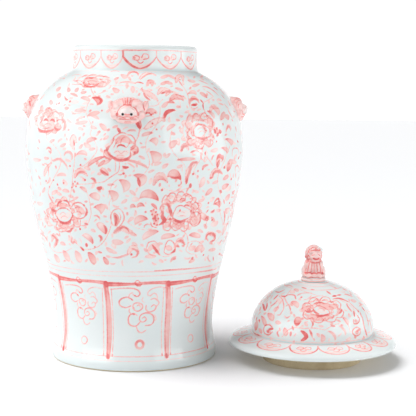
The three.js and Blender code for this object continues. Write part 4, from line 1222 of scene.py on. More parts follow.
# Lower band, right.
K([(205, 220), (207.4, 217.4), (209, 220)], 1.7, .62); S([(207, 221), (206, 224), (204.6, 227)], .5, .5); D(212, 220, 1.2, .8); K([(213.4, 204.6), (215.6, 200.4), (218.6, 199), (219.4, 207)], 1.3, .84); D(208.5, 203, 1.3, .84); D(229.5, 203, 1.2, .8)
W([(211, 212), (214, 211.6)], 1.8, .4); K([(224, 210.6), (224.6, 217), (223.6, 224)], 1.1, .74); O([(205.6, 239), (208, 233.6), (215, 235.6), (212, 241.6)], 2.2, .58, .24); D(225, 237, 1.1, .76); D(223, 241, 1.0, .7); D(203.5, 255, 1.2, .8); D(178, 246, 1.1, .76); D(219, 254, 1.1, .7)
S([(184, 222), (184.4, 227), (184, 231.4), (187, 235.6), (188, 243), (186, 250), (190, 253.6), (193.6, 254)], .48, .52); S([(188, 243), (193, 241), (199, 242), (204, 247)], .42, .44); S([(222, 196), (219, 206), (221, 216), (223, 226), (220, 236), (214, 244), (212, 252)], .42, .44)
O([(176, 246), (179.6, 240), (184.6, 244.6)], 2.5, .58, .24); W([(149, 250), (154, 246), (158, 250)], 3.4, .30); S([(146.4, 248), (148.6, 242.6), (154.6, 241.4), (159.6, 246)], .65, .58); K([(152, 244.6), (156, 250), (160, 255.4)], 1.4, .86); S([(146.4, 248), (149.6, 254), (156, 256)], .6, .56)
W([(167, 247), (171, 249)], 3.2, .34); S([(164, 252.4), (166.6, 242.6), (170.6, 240.4)], .65, .6); S([(170.6, 240.4), (174.6, 244.6), (175, 252)], .65, .6); K([(170.6, 253), (173.6, 251.4), (175.2, 247.6)], 1.3, .86); S([(164, 252.4), (168, 254.4), (172, 253)], .6, .6); S([(160, 255), (165, 256.6), (172, 255)], .42, .46)

# ------------------------------------------------------------------ leaves of the middle and lower bands
def leaves(rows, brush=None):
    for r in rows:
        (brush or B).F(*r)


def strokes(rows):
    for pts, w, i in rows:
        K(pts, w, i)


# Under the mask and round the fourth peony.
leaves([(132, 175, 139, 188, -12, -3, .74, .30), (118, 179.5, 123, 193, -10, -1.5, .66, .34), (149, 151, 152, 164, -11.5, -1, .66, .32), (148.5, 141, 156, 146.5, -7.6, -1, .64, .34),
        (153.5, 133, 141.5, 136.5, 3.2, -.8, .66, .5), (167.5, 183, 154.5, 185, 8.5, 4, .70, .5), (138, 156, 145, 159.5, -2, .8, .60, .5), (140, 147.5, 145.5, 147, -1.3, 1.3, .55, .5),
        (115, 184.5, 107, 185, 1.5, -1.2, .62, .5), (129, 167, 122, 168.5, 1.5, -1, .76, .5), (108.5, 176, 100, 168.5, 3.6, -.8, .74, .42), (122, 160, 148, 169, -4.0, -1, .72, .5),
        (127, 163, 135, 168.5, -1.8, .2, .62, .5), (112, 159, 101, 165, 1.7, -1.7, .60, .4), (162, 162.4, 154, 165.6, 2.4, -1.2, .46, .5), (168.6, 163.4, 162, 168.4, -1.8, 2.2, .50, .5),
        (136, 196, 129, 190.6, 2.4, -1.2, .44, .6), (155, 170, 148, 173, 1.8, -1.0, .42, .6)])
strokes([([(137.6, 177.4), (139.4, 181.6), (139.6, 186.4)], 1.2, .84), ([(117.6, 174.4), (120.6, 174.6), (123.3, 173.6)], .7, .6), ([(130, 148), (134, 145.6), (137.2, 147.4), (138, 151), (134.6, 153.6)], .8, .66)])

# Middle band, left.
leaves([(97.6, 139, 86.6, 143.4, 4.4, -.2, .72, .42), (76, 155.4, 87.4, 156.6, -6, -1.4, .74, .36), (56, 176.4, 66.6, 176.4, -3.8, -.4, .40, .7), (79, 187, 86.4, 192.8, -3.4, .4, .60, .5),
        (105.6, 157, 88, 167.6, 4.8, .6, .84, .56), (105.6, 159.8, 98, 166.8, 2, -1.8, .78, .6), (83, 144, 79, 149, 1.6, -1.6, .46, .6), (66.6, 143.4, 60, 147, 1.8, -1.6, .50, .5),
        (91, 170, 83.6, 167, -1.6, 2.2, .48, .5), (70, 192, 62, 190, -1.6, 2.2, .50, .5), (104, 172, 97, 174.6, 1.8, -1.6, .56, .5), (96, 148.6, 88.6, 150, 2.0, -1.4, .48, .5),
        (103, 140, 109, 136, -2.0, 1.4, .52, .5), (58, 190, 51.6, 194.6, -1.8, 2.2, .50, .5), (55, 139.6, 49.6, 142.6, 2, -1.2, .5, .5), (45, 187, 42.6, 193, 1.4, -1.4, .5, .6), (79, 197, 72.6, 200, 1.8, -1.2, .4, .6)])
strokes([([(46, 149.4), (48.4, 147.6), (51, 149.6), (50.4, 154)], 1.0, .60), ([(64, 155.6), (66, 152.4), (70, 152.2), (72.2, 156), (71.6, 160)], 1.4, .50), ([(51, 157.4), (53, 160.6), (58, 159), (62, 160.4), (66, 165), (68, 170)], 1.3, .48),
         ([(76, 177), (78, 173.2), (82, 171.6), (86.6, 173.8)], 1.1, .60), ([(90.6, 178.4), (94, 179.4), (95.8, 183.6)], 1.5, .76), ([(79, 176), (83, 178), (85, 180)], .6, .6), ([(44, 163), (47.4, 165), (48.4, 170), (48.6, 176.4)], .8, .56)])

# Middle band, right.
leaves([(224.6, 139, 231.2, 146, -4.8, -.6, .84, .5), (220.6, 148, 227.4, 153.8, -4.6, -.6, .68, .5), (217.4, 168.2, 219, 155, 1.9, -2.3, .90, .42), (227.2, 171.8, 230.4, 159.4, 2.8, -2.1, .90, .45), (222.6, 179.8, 228, 174.4, 2.6, -1.2, .68, .7),
        (229.2, 184, 222.8, 190, 3.4, -1, .76, .5), (181.4, 180.8, 166.6, 177.4, 9.8, 1.2, .94, .40), (176, 160.4, 196, 159.4, -2.5, .9, .60, .5), (177.8, 141.2, 170.4, 148.8, 5, -1.6, .66, .6),
        (199.2, 187.8, 203.6, 176.6, 3.6, -1.6, .46, .4), (171, 153.4, 164.6, 158, 2.0, -1.6, .46, .5), (183, 165, 176.6, 168, 1.8, -1.6, .42, .5), (234, 160, 236.6, 154, 1.2, -1.2, .4, .6), (212, 184, 218.6, 181, -1.8, 1.4, .40, .6),
        (205.4, 196, 212.6, 188.4, -2.4, 1.8, .64, .6)])
strokes([([(214.4, 155), (212.6, 157), (211.6, 160.6)], 1.2, .50), ([(222, 155), (223.2, 158), (221.4, 161.6)], 1.3, .62), ([(210, 178.4), (212.4, 177.4), (213.4, 173.8), (216, 171.4), (220, 171.6), (222.8, 174.2)], 1.5, .62),
         ([(180.8, 180), (181.2, 183), (179.6, 185.6)], .8, .62), ([(186.2, 184), (187, 178), (189.6, 172), (190.6, 166), (193, 162.6), (198, 162.4)], 1.7, .52), ([(186.2, 184.4), (187.6, 178)], 1.3, .80),
         ([(202.4, 169.8), (204, 166.4), (208.6, 165)], 1.6, .62), ([(205, 151.6), (205.6, 155)], 1.2, .72), ([(190.6, 152.4), (194.4, 151)], 1.2, .80), ([(181.6, 151.2), (182.4, 147.6), (184.8, 145.6), (188.8, 146.6)], 1.3, .56),
         ([(170.6, 132.6), (175.4, 134.6)], 1.6, .50), ([(219.2, 190.4), (221.8, 192.6)], 1.7, .66), ([(190.4, 183.6), (190.6, 187.6)], 1.8, .74), ([(190.6, 186.4), (187.6, 189.4), (186, 194.6)], 1.0, .48), ([(175.6, 191.4), (180, 188.4)], 1.1, .50),
         ([(238.8, 176.6), (237.6, 180.6)], 1.4, .50), ([(235.6, 180), (236, 190)], .9, .50)])
D(182, 150.2, 1.3, .76); D(196.8, 162.6, 1.4, .62); D(202.8, 169, 1.2, .76); D(210.8, 178, 1.2, .80); D(231.4, 179, 1.4, .8); D(224.4, 167.4, 1.5, .86)
S([(200.4, 153), (200.8, 157.4), (203, 160), (205.4, 162.4)], .6, .50); S([(205.6, 155), (207, 157.6), (210, 161), (213, 166)], .6, .42); S([(235.4, 171.8), (235.2, 167.6), (237.6, 165.6), (239.4, 169.4), (238.4, 172)], .9, .50)

# Lower band, left.
leaves([(88.6, 195.6, 99, 201, -6.6, .8, .66, .26), (93, 207.4, 100.8, 215, -9.8, -1.4, .80, .36), (105.8, 234.6, 96, 223.6, 5.8, -1.4, .76, .28), (93, 244.6, 81.6, 235.4, 5.6, .2, .84, .22), (87.6, 252, 94, 265, -4.8, 1.8, .82, .45),
        (103, 256.6, 108, 265, -2.6, 2.0, .74, .6), (105.6, 247.4, 113, 252.4, -2, 2, .52, .6), (75, 250.4, 80, 263, -4, 2.2, .44, .5), (62.6, 250, 69, 262, -3.2, 1.8, .52, .5), (96, 232, 90.6, 229, -1.6, 1.6, .42, .6),
        (54, 254, 59, 263, -2.6, 1.6, .50, .5), (66, 245, 60, 242, -1.8, 1.6, .50, .5), (47.6, 224, 44.6, 217.6, -1.2, 1.4, .46, .6), (74, 197.6, 68, 195, -1.6, 1.6, .46, .6), (104, 190.6, 100, 186, 1.6, -1.6, .4, .6), (62, 195.6, 56.4, 192, 1.6, -1.6, .48, .6)])
strokes([([(93.6, 216), (97.6, 216.2), (100.2, 220)], 1.1, .60), ([(103.4, 225.2), (106, 229), (105.6, 234.2)], 1.5, .80), ([(98, 236), (100.2, 236.2), (101.6, 238.8), (100, 241.6)], 1.5, .76), ([(86.2, 243.2), (86.8, 246.8)], 1.6, .78), ([(80.2, 246.8), (82, 248.6), (84.2, 251)], 1.4, .88),
         ([(97.6, 251.6), (102.2, 253)], 1.2, .66), ([(52, 235.4), (54.8, 237.2), (56.8, 241), (55.4, 245.8)], 1.7, .62), ([(43, 234.4), (46, 238.4), (47.2, 241.8)], 1.3, .58), ([(42.4, 221.6), (43, 226.4)], 1.5, .50),
         ([(43.6, 210.6), (46.2, 214.4)], 1.3, .50), ([(48.2, 193.6), (50.6, 198.6), (54.2, 204.2)], 1.5, .52), ([(49.6, 242), (50.2, 247.4)], 1.1, .60), ([(59.4, 232.8), (60, 236.2)], 1.0, .60), ([(72.6, 237), (71.4, 241.2), (73.8, 243.8)], 1.2, .60),
         ([(84.4, 223.2), (88.4, 224.8)], 1.2, .76), ([(47, 215.4), (49, 217.4)], .9, .6)])
W([(51, 235), (54, 238)], 2.2, .30); W([(74.4, 239.6), (76.4, 243)], 2.0, .28); D(73.6, 242.2, 1.4, .60)

# Lower band, middle.
leaves([(107.5, 190.6, 112, 202.4, -9, -1, .62, .36), (159.2, 201.8, 139, 199, 10.8, 2.2, .84, .42), (136.4, 207.8, 130, 208.6, 4.6, .6, .74, .6), (145.4, 207.2, 137, 208.6, 5.6, 1.4, .78, .6), (157.2, 210.2, 150.4, 204, 2.8, -.4, .82, .6),
        (148.6, 219.4, 135, 225.4, 7.8, .6, .76, .32), (124, 243, 111.4, 241.4, 2.8, -3, .38, .7), (106, 247.6, 117.4, 253.6, -1.6, 2, .38, .7), (159.4, 231.6, 143, 240.6, 6.4, 0, .68, .34), (144, 256.6, 156.4, 256, 2.2, -2.2, .36, .8),
        (175.8, 236.4, 161, 239.6, 5.0, -.4, .74, .34), (121, 203.6, 127.6, 199.6, -2, 1.6, .40, .6), (127.6, 222, 134, 217, 1.8, -2.2, .40, .6), (138, 246, 131.6, 242.4, -1.6, 1.8, .42, .6), (131, 238, 126, 243, -1.6, 1.6, .36, .6), (108, 210, 104.6, 204, 1.6, -1.2, .44, .6)])
strokes([([(112.6, 233.2), (118, 230), (123, 227.2), (127, 228.6), (129.2, 232)], 1.2, .66), ([(111.4, 257), (118, 257.6), (124, 255.6), (128.6, 254)], 1.1, .50), ([(130.4, 248.6), (135, 249.4), (137.8, 252.4), (136, 256.4), (130.8, 257.6)], 1.1, .60),
         ([(162, 211.4), (163.2, 216.6), (165.2, 220), (162, 223.2), (158.4, 225.2)], 1.6, .86), ([(167.8, 202.8), (169.6, 208), (171.2, 212.4), (172, 217)], 1.4, .84)])
W([(129, 232), (136, 235)], 1.6, .38); D(155, 218.4, 1.5, .82); D(170, 219.2, 1.5, .86); S([(144, 227.4), (146, 224.6), (149.6, 224.6)], .7, .6); S([(151, 222), (152, 226), (157, 227.4)], .7, .6); S([(160, 210), (161, 206), (164, 204), (167, 205)], .7, .62)

# Lower band, right.
leaves([(207.8, 221.2, 200.2, 213, 3.2, -3, .84, .26), (213, 204.8, 218.8, 209, -7.2, -1.8, .88, .42), (204, 223.4, 206.6, 228.8, 1.7, -1.7, .46, .8), (229.4, 193.6, 225.6, 200.8, -2, 1.6, .58, .6), (188.6, 235.4, 200.6, 237.8, -4.4, 1, .76, .34),
        (194, 251.6, 202.4, 245, 3.0, -2.2, .62, .4), (208, 250.6, 215.8, 249, -1.7, 1.7, .44, .7), (216, 230.6, 221.2, 232.6, -1.7, 1.5, .46, .7), (203.6, 232.4, 197.4, 229.6, -1.5, 1.7, .42, .6), (204, 240.6, 198.6, 244.6, -1.4, 1.8, .36, .6),
        (204.6, 199.6, 198, 201.6, 1.6, -1.6, .42, .6), (193, 190.6, 199, 192.6, -1.6, 1.4, .38, .6), (188.4, 262.8, 194.6, 259, 1.8, -1.8, .5, .6), (164, 262.4, 158.6, 259.6, -1.6, 1.6, .42, .6)])
strokes([([(206, 212.8), (208.6, 209.6)], 1.0, .66), ([(211, 212.6), (215.2, 209.4)], 1.0, .66), ([(223.8, 210.8), (224.8, 217), (223.8, 224)], 1.7, .58), ([(229.2, 220.8), (226.8, 225), (225.6, 230.8)], 1.3, .60), ([(226.8, 236), (225.2, 239), (223.4, 244)], 1.4, .76),
         ([(236.6, 197.6), (234.8, 205), (232.6, 213.4)], 1.7, .46), ([(223.4, 199.2), (224.6, 204)], 1.2, .66), ([(176.4, 242), (180, 240.4), (182.6, 241.6), (184.6, 244.8)], 1.2, .62), ([(176.2, 245.2), (179.8, 247.2)], 1.1, .70), ([(190.2, 245.6), (192.6, 242.8)], .9, .60),
         ([(213, 256.4), (213.6, 261)], 1.2, .66), ([(176.4, 256.6), (172.8, 258.4), (170.6, 262.4)], 1.6, .48)])
S([(208, 240.8), (206.2, 237), (208.4, 234), (212, 233.6), (215, 236.6), (214.6, 240), (210.6, 241.4)], 1.2, .54, .70); W([(211.4, 217.6), (214.4, 221)], 2.1, .38); D(219.6, 254, 1.6, .80); D(220, 249.8, 1.0, .5); D(174.4, 258.6, 1.7, .64); D(192.4, 258.2, 1.7, .70); D(229.6, 203, 1.3, .62)
S([(208.4, 255.4), (208, 258.8), (210.4, 261.6)], .8, .60)

# Shoulder, middle, as read again.
leaves([(120.4, 74, 128.4, 75.2, 4.2, -.2, .56, .6), (131, 80.8, 128.4, 76.4, 1.3, -1.3, .52, .5), (119.2, 77.4, 113.8, 79.6, 1.1, -1.3, .62, .6), (112.4, 87.4, 120, 90.4, 4.2, -.9, .60, .46), (146.6, 80.4, 151.8, 87, -4.9, -.6, .60, .6),
        (170, 75.2, 160.2, 78.2, 1.9, -1.5, .52, .6), (169.4, 81.4, 160.2, 84.8, 2, -1.3, .60, .6), (168.8, 101.2, 161.8, 107.8, 2.2, -2.2, .44, .8), (140.2, 129.4, 137.2, 119.6, 3.1, -1.8, .86, .5), (126.8, 131.6, 136.6, 131.8, -2.8, -.4, .62, .6)])
strokes([([(128.4, 73.6), (133, 72), (137, 72.8), (138.4, 75.6)], 1.4, .66), ([(140.4, 79.6), (144, 76.4), (148.4, 74), (152.4, 73.4), (155.8, 74.8)], 1.2, .60), ([(136, 82.2), (140, 82.4), (143.6, 83.8)], 1.1, .76), ([(117.2, 127.6), (119, 130.4), (120.4, 133.4)], 1.6, .84)])
W([(120, 82.4), (127, 82), (135, 83.4)], 1.7, .24); W([(127, 83), (127, 88)], 1.9, .26); W([(132.6, 87), (133, 92)], 2.5, .26); W([(113, 127.4), (117.4, 126)], 1.6, .40); D(146.6, 112.8, 1.2, .8); D(151, 114.4, 1.2, .84); D(155.2, 112.4, 1.0, .76)

# Shoulder, left and right, as read again.
leaves([(60.8, 86.6, 56, 91, -1.9, 1.4, .58, .6), (68.8, 87.4, 68.4, 92.2, 1.7, -2.1, .56, .7), (78.8, 87.8, 75.2, 92.2, 2.1, -1.5, .58, .7), (87, 92, 80.4, 93, 1.6, -1.5, .52, .7), (60.6, 92.8, 57.4, 97.8, -2.3, 1.8, .56, .7),
        (80.2, 98, 89.8, 101.6, -3.9, .4, .52, .5), (91.2, 97.8, 97, 105.6, -7.2, -1.2, .88, .56), (51, 99.6, 51.4, 104.8, 2, -1.7, .46, .7), (69.2, 108, 64.4, 108.4, 1.7, -1.7, .50, .7), (42.4, 105, 41.6, 111, 2, -1.5, .46, .6),
        (86.6, 111, 74.2, 111.6, 3.0, -.7, .44, .6), (87, 116.2, 100.4, 112.8, -3.2, 1.1, .46, .7), (99.8, 119.6, 91, 116, -.7, 2.8, .42, .6), (74.4, 124, 88.2, 121.8, -2.1, 1.8, .42, .6), (97.2, 128.8, 89.8, 127, 2.1, -1.3, .42, .6),
        (98.8, 123.8, 105.6, 131.4, -3.8, 1.3, .52, .6), (84, 130, 77.6, 127.8, -1.6, 1.8, .36, .6), (110.6, 109, 106, 112.6, 1.6, -1.4, .40, .6), (84, 117, 78, 118.6, 1.6, -1.2, .36, .6), (111, 97.6, 105.6, 95.6, -1.6, 1.2, .42, .6)])
strokes([([(70.4, 93.4), (74, 94.4), (77.8, 96.8)], 1.5, .56), ([(64.4, 95.8), (66.2, 99.4), (68.2, 99.8)], 1.0, .70), ([(66, 121.2), (64.6, 125.6), (65.4, 130.6)], 1.0, .56)])
W([(72, 102), (78, 102)], 2.4, .10); W([(83, 103.6), (88, 103)], 1.8, .12); D(59, 103.2, 1.2, .7); D(56.6, 104.2, 1.0, .6); D(68.6, 129.8, 1.3, .46); D(70, 101.4, 1.4, .70)
leaves([(166.2, 75.4, 175.2, 79.6, -2.5, .2, .54, .7), (164, 81.8, 172.8, 84.4, -1.9, 1.1, .60, .7), (187, 80, 195.8, 82, -1.5, 1.5, .48, .7), (200, 84.2, 191.8, 86.6, 1.9, -1.3, .52, .7), (174.2, 88, 183.2, 91.2, -1.9, .7, .52, .7),
        (187.2, 94.8, 196.8, 95.6, -5.2, -1.5, .68, .4), (207.4, 98.2, 199.4, 92.4, 2.3, -1.1, .68, .6), (169.4, 101.8, 184.2, 101.6, -6.8, -1.9, .64, .5), (175.2, 103.6, 167.4, 103, 2.8, 0, .78, .6), (181.4, 107, 175.6, 106.6, 1.4, -1.4, .60, .7),
        (176.6, 110.6, 163.8, 120, 5.9, 2, .86, .4), (206.4, 110.8, 213.8, 119.2, -3.7, -.6, .80, .36), (210.4, 107, 218.2, 115.8, -5.1, -.8, .64, .5), (220.4, 120.4, 223.6, 111.4, 3.1, -1.5, .66, .6), (228.8, 120, 225, 114.4, -1.5, 2.5, .68, .6),
        (180.2, 120.8, 175.4, 119.4, 1.4, -1.4, .50, .7), (176.2, 124.8, 167.2, 131.2, 4.1, -.4, .66, .5), (184, 113, 190, 110.6, -1.4, 1.4, .36, .6), (222, 101, 216.6, 99, -1.2, 1.4, .40, .6), (196.6, 110.6, 201.6, 108.8, -1.2, 1.2, .36, .6)])
strokes([([(198.4, 80.2), (203, 81.8), (208.6, 84.2)], 1.6, .50), ([(202.2, 86.4), (208, 87.4), (213.6, 90.6)], 1.5, .50), ([(208, 88), (213, 90.4), (218.8, 95.8)], 1.6, .50), ([(205.8, 90.8), (210, 93.4), (213.6, 96.8)], 1.4, .44), ([(200, 99.4), (203.2, 102.8)], 1.3, .70),
         ([(178.2, 79.8), (182.8, 86.4)], 1.1, .60), ([(190, 105), (189.6, 100.6), (193, 98.8), (196.6, 99.6), (199.6, 103.2)], 1.5, .66), ([(191.2, 105.4), (194, 104.8), (196.8, 105.2)], 1.5, .92), ([(227.8, 109.2), (229.6, 113), (232.8, 118.4)], 1.4, .50),
         ([(218.2, 103), (223.8, 104.8)], 1.2, .44), ([(226.2, 129.8), (228.6, 126.4), (230.8, 131)], 1.3, .66), ([(163.4, 92.2), (169, 91.4), (173.4, 92)], 1.8, .55)])
S([(191.4, 107), (194, 108.8), (197.8, 107)], .7, .40); S([(176, 94.4), (180.6, 95.6), (184, 96.8)], .7, .45); D(223, 124.2, 1.4, .64)
D(220, 131.6, 2.3, .92); D(215, 131, 1.7, .86); D(217.6, 134.6, 1.8, .80); D(217, 128.4, 1.4, .70)

# The many small petals of each peony.
B.bloom(93, 81, 15, 5.2, [(1.0, 12, 2.3, .44), (.55, 7, 2.0, .62)], 1)
B.bloom(49.5, 121, 12, 10.5, [(1.0, 11, 3.4, .44), (.62, 8, 3.0, .52)], 2)
B.bloom(198.6, 131, 14.5, 14.5, [(1.0, 14, 4.0, .38), (.70, 11, 3.6, .46), (.44, 7, 2.6, .52)], 3)
B.bloom(121, 149, 13, 9.6, [(.98, 11, 2.8, .32)], 4)
B.bloom(63, 214, 14.5, 13.5, [(1.0, 13, 4.0, .42), (.66, 9, 3.4, .54)], 5)
B.bloom(180.6, 211.5, 17.5, 14.5, [(1.0, 15, 4.2, .42), (.68, 11, 3.6, .52)], 6)

# ------------------------------------------------------------------ borders and panels
def jar_arc(phis, zs, n=24):
    """Points on the jar's wall along matching angles (degrees) and heights."""
    t = np.linspace(0, 1, n)
    src = np.linspace(0, 1, len(phis))
    ph = np.radians(np.interp(t, src, phis))
    q = bezier(np.stack([np.asarray(phis, float), np.asarray(zs, float)], 1), n) if len(phis) > 2 else np.stack([np.interp(t, src, phis), np.interp(t, src, zs)], 1)
    ph, z = np.radians(q[:, 0]), q[:, 1]
    r = np.interp(z, JAR_SIDE[:, 1], JAR_SIDE[:, 0])
    return np.stack([r * np.sin(ph), -r * np.cos(ph), z], axis=1)


def wall(layer, phis, zs, w, i, n=24, hollow=None):
    p = jar_arc(phis, zs, n)
    w = np.interp(np.linspace(0, 1, len(p)), np.linspace(0, 1, np.size(w)), np.atleast_1d(w))
    i = np.interp(np.linspace(0, 1, len(p)), np.linspace(0, 1, np.size(i)), np.atleast_1d(i))
    for paper in JAR_PAPERS:
        paper.brush(layer, p, w, i, hollow)


hand = np.random.default_rng(7)
# Two hand-drawn rings over the panels, and two at the foot.
for z0, amp, tone, half in ((110.2, 1.0, .34, .42), (105.4, .9, .30, .42), (16.6, .5, .38, .42), (11.8, .4, .22, .36)):
    for k in range(36):
        a = k * 10
        z1 = z0 + amp * math.sin(math.radians(a * 2 + 40)) * .6
        z2 = z0 + amp * math.sin(math.radians((a + 10) * 2 + 40)) * .6
        t = tone * (0.8 + 0.4 * hand.random())
        wall("line", [a, a + 10.3], [z1, z2], half, t, 5)
wall("line", [16, 30, 44, 62], [111.6, 111.6, 110.8, 109.4], [.5, .75, .6, .3], [.78, .7, .5, .4], 20)
wall("line", [44, 58, 72], [105.8, 104.8, 103.4], [.4, .7, .4], [.5, .7, .5], 14)
wall("line", [198, 214, 232], [111.2, 110.6, 109.6], [.5, .75, .4], [.7, .6, .4], 16)

PANEL = 40.0
PILLARS = [-14.2 + PANEL * k for k in range(9)]
for k, a in enumerate(PILLARS):
    lean = hand.uniform(-.5, .5)
    dark = (.66, .56, .70, .60)[k % 4]
    thick = (3.0, 3.3, 2.5, 2.7)[k % 4]
    wall("wash", [a - .6, a + .5 + lean, a + .6 + lean, a + .2], [96.5, 72, 42, 15.6], [thick * .9, thick, thick * 1.02, thick * .8], [dark, dark * .72, dark * .66, dark * .86], 26)
    wall("line", [a - .9, a - .5 + lean * .6, a - .8 + lean, a - .4], [97.5, 74, 46, 17], .45, [.75, .5, .4, .6], 20)
    wall("line", [a - .4, a + .1], [97.4, 95.0], 2.3, .88, 4)
    wall("line", [a, a + .2], [17.6, 15.2], 1.3, .86, 4)
    for s, tone in ((-1, .44), (1, .42)):
        wall("line", [a + s * 3.0, a + s * 3.4 + lean, a + s * 3.5 + lean, a + s * 3.0], [91.5, 66, 40, 17.5], .40, [.58, tone, tone, .5], 22)
        wall("line", [a + s * 3.1, a + s * 3.0], [18.6, 17], .8, .6, 3)
    # thick top band with a small cusp at its middle
    b = a + PANEL
    z = [96.2, 96.6, 97.0, 97.9, 98.2, 97.4]
    wall("wash", [a - .5, a + 8, a + 16, a + 24, a + 32, b], z, [2.7, 2.3, 1.5, 1.7, 1.7, 2.3], [.78, .70, .60, .62, .60, .70], 30)
    wall("line", [a + 1, a + 12, a + 19], [97.4, 97.8, 98.0], [.9, .6, .4], [.70, .60, .5], 12)
    wall("line", [a + 18.2, a + 19.6, a + 21.4], [98.8, 101.2, 98.9], .55, .62, 8)
    wall("line", [a + 18.6, a + 20.8, a + 22.4], [96.8, 95.4, 97.0], [.8, 1.3, .7], .84, 8)


class PanelBrush(Brush):
    """Carries the middle panel's drawing to all nine, the neighbours a little smaller and every other one mirrored."""
    MID = 5.7

    def __init__(self, scale_all=True):
        super().__init__(JAR_PAPERS, on_jar)
        self.scale_all = scale_all

    def lay(self, layer, uv, width, ink, hollow=None):
        p = self.onto(uv)
        ph = np.degrees(np.arctan2(p[:, 0], -p[:, 1])) - self.MID
        width = np.broadcast_to(np.asarray(width, float), (len(p),))
        ink = np.broadcast_to(np.asarray(ink, float), (len(p),))
        for k in range(9):
            side = k % 9 != 0
            s = 0.84 if side and self.scale_all else 1.0
            flip = -1.0 if k in (2, 4, 6, 7) else 1.0
            z = 84.0 + (p[:, 2] - 84.0) * (0.86 if side and self.scale_all else 1.0)
            a = np.radians(ph * s * flip + self.MID + PANEL * k + (0.8 if k == 8 else 0.0))
            r = np.interp(z, JAR_SIDE[:, 1], JAR_SIDE[:, 0])
            q = np.stack([r * np.sin(a), -r * np.cos(a), z], axis=1)
            for paper in self.papers:
                paper.brush(layer, q, width * (0.92 if side else 1.0), ink * (0.86 if side else 1.0), hollow)


PB = PanelBrush()
for pts, w, i, i2 in (
    ([(110.4, 289.4), (120, 288.4), (128, 288.2), (134, 288.7), (138.2, 290.6), (139.9, 293.6), (138.6, 296), (135.6, 296.3), (133, 294.6)], .58, .50, .74),
    ([(165.9, 287.5), (160, 287.0), (155, 287.8), (150.1, 290.1), (147.6, 293.4), (148.6, 295.6), (150.6, 295)], .46, .48, .34),
    ([(132.6, 300.1), (128, 297.4), (122.3, 298.3), (119.2, 301.8), (120.6, 305.9), (125.9, 307.6), (130.9, 305.9)], .62, .66, .54),
    ([(129.0, 298.7), (129.7, 294.4), (133.0, 292.8)], .48, .42, .36),
    ([(133.7, 307.3), (134.6, 310.3), (138.7, 311.1), (142.4, 308), (141.8, 304.2), (137.3, 302.8), (133.4, 304.4), (132.6, 308.6)], .58, .60, .50),
    ([(137, 306), (139.4, 305), (140.2, 307.4)], .46, .5, .46),
    ([(146.2, 305.4), (145.9, 309.4), (149.4, 311.8), (154.4, 310.1), (156.1, 306.4), (153.7, 304.8), (151, 307)], .56, .56, .46),
    ([(150.9, 299.4), (155.1, 298.5), (158.9, 302.3), (157, 306)], .56, .52, .42),
    ([(150.1, 296.2), (154.0, 293.2), (156.9, 295.1), (157.3, 299)], .44, .40, .34),
    ([(137.3, 315.4), (133.7, 313.5), (129.2, 315.9), (128.3, 321.6), (130.7, 325.3), (135.9, 326.1), (139.6, 322.5)], .60, .64, .54),
    ([(139.2, 320), (140.7, 315.1), (146.6, 312.8), (152.5, 315.1), (153.9, 320.1), (151.1, 324.6), (145.1, 325.6)], .60, .56, .62),
    ([(139.4, 319.6), (142.3, 322.2), (146.3, 319.8), (144.6, 316.9), (142.2, 318.2)], .52, .52, .46),
    ([(136.4, 326.6), (138, 331.1), (141.8, 332.5), (146.1, 330.1)], .54, .52, .44),
    ([(130.1, 308.4), (129.2, 311.6), (132.0, 314.2)], .50, .5, .46),
    ([(154.6, 314.6), (156.2, 318.7), (154.8, 320.4)], .40, .32, .28),
    ([(143.4, 297.4), (142.0, 300.2), (144.2, 302.4)], .40, .34, .3),
):
    PB.S(pts, w * 1.34, i, i2)
PB.K([(130.4, 298.3), (133, 300.6)], .9, .84)
PB.K([(131.6, 313.9), (135.4, 314.6)], .9, .82)
PB.K([(133.4, 295), (136.6, 296.4)], .8, .78)
for layer, r, hw, tone in (("line", 4.0, 1.35, .66),):
    # ring under the cloud: thick on the middle panel, thin on its neighbours
    t = np.linspace(0, 2 * math.pi, 21)
    for k in range(9):
        side = k != 0
        zc = 29.8 if not side else 31.0
        a = np.radians(7.4 + PANEL * k - (0.6 if side else 0.0)) + (r * np.cos(t)) / 90.4
        z = zc + r * 1.02 * np.sin(t)
        rr = np.interp(z, JAR_SIDE[:, 1], JAR_SIDE[:, 0])
        q = np.stack([rr * np.sin(a), -rr * np.cos(a), z], axis=1)
        for paper in JAR_PAPERS:
            paper.brush("line", q, hw if not side else .62, tone * (1 if not side else .66) * (0.85 + 0.3 * np.sin(t + k)))

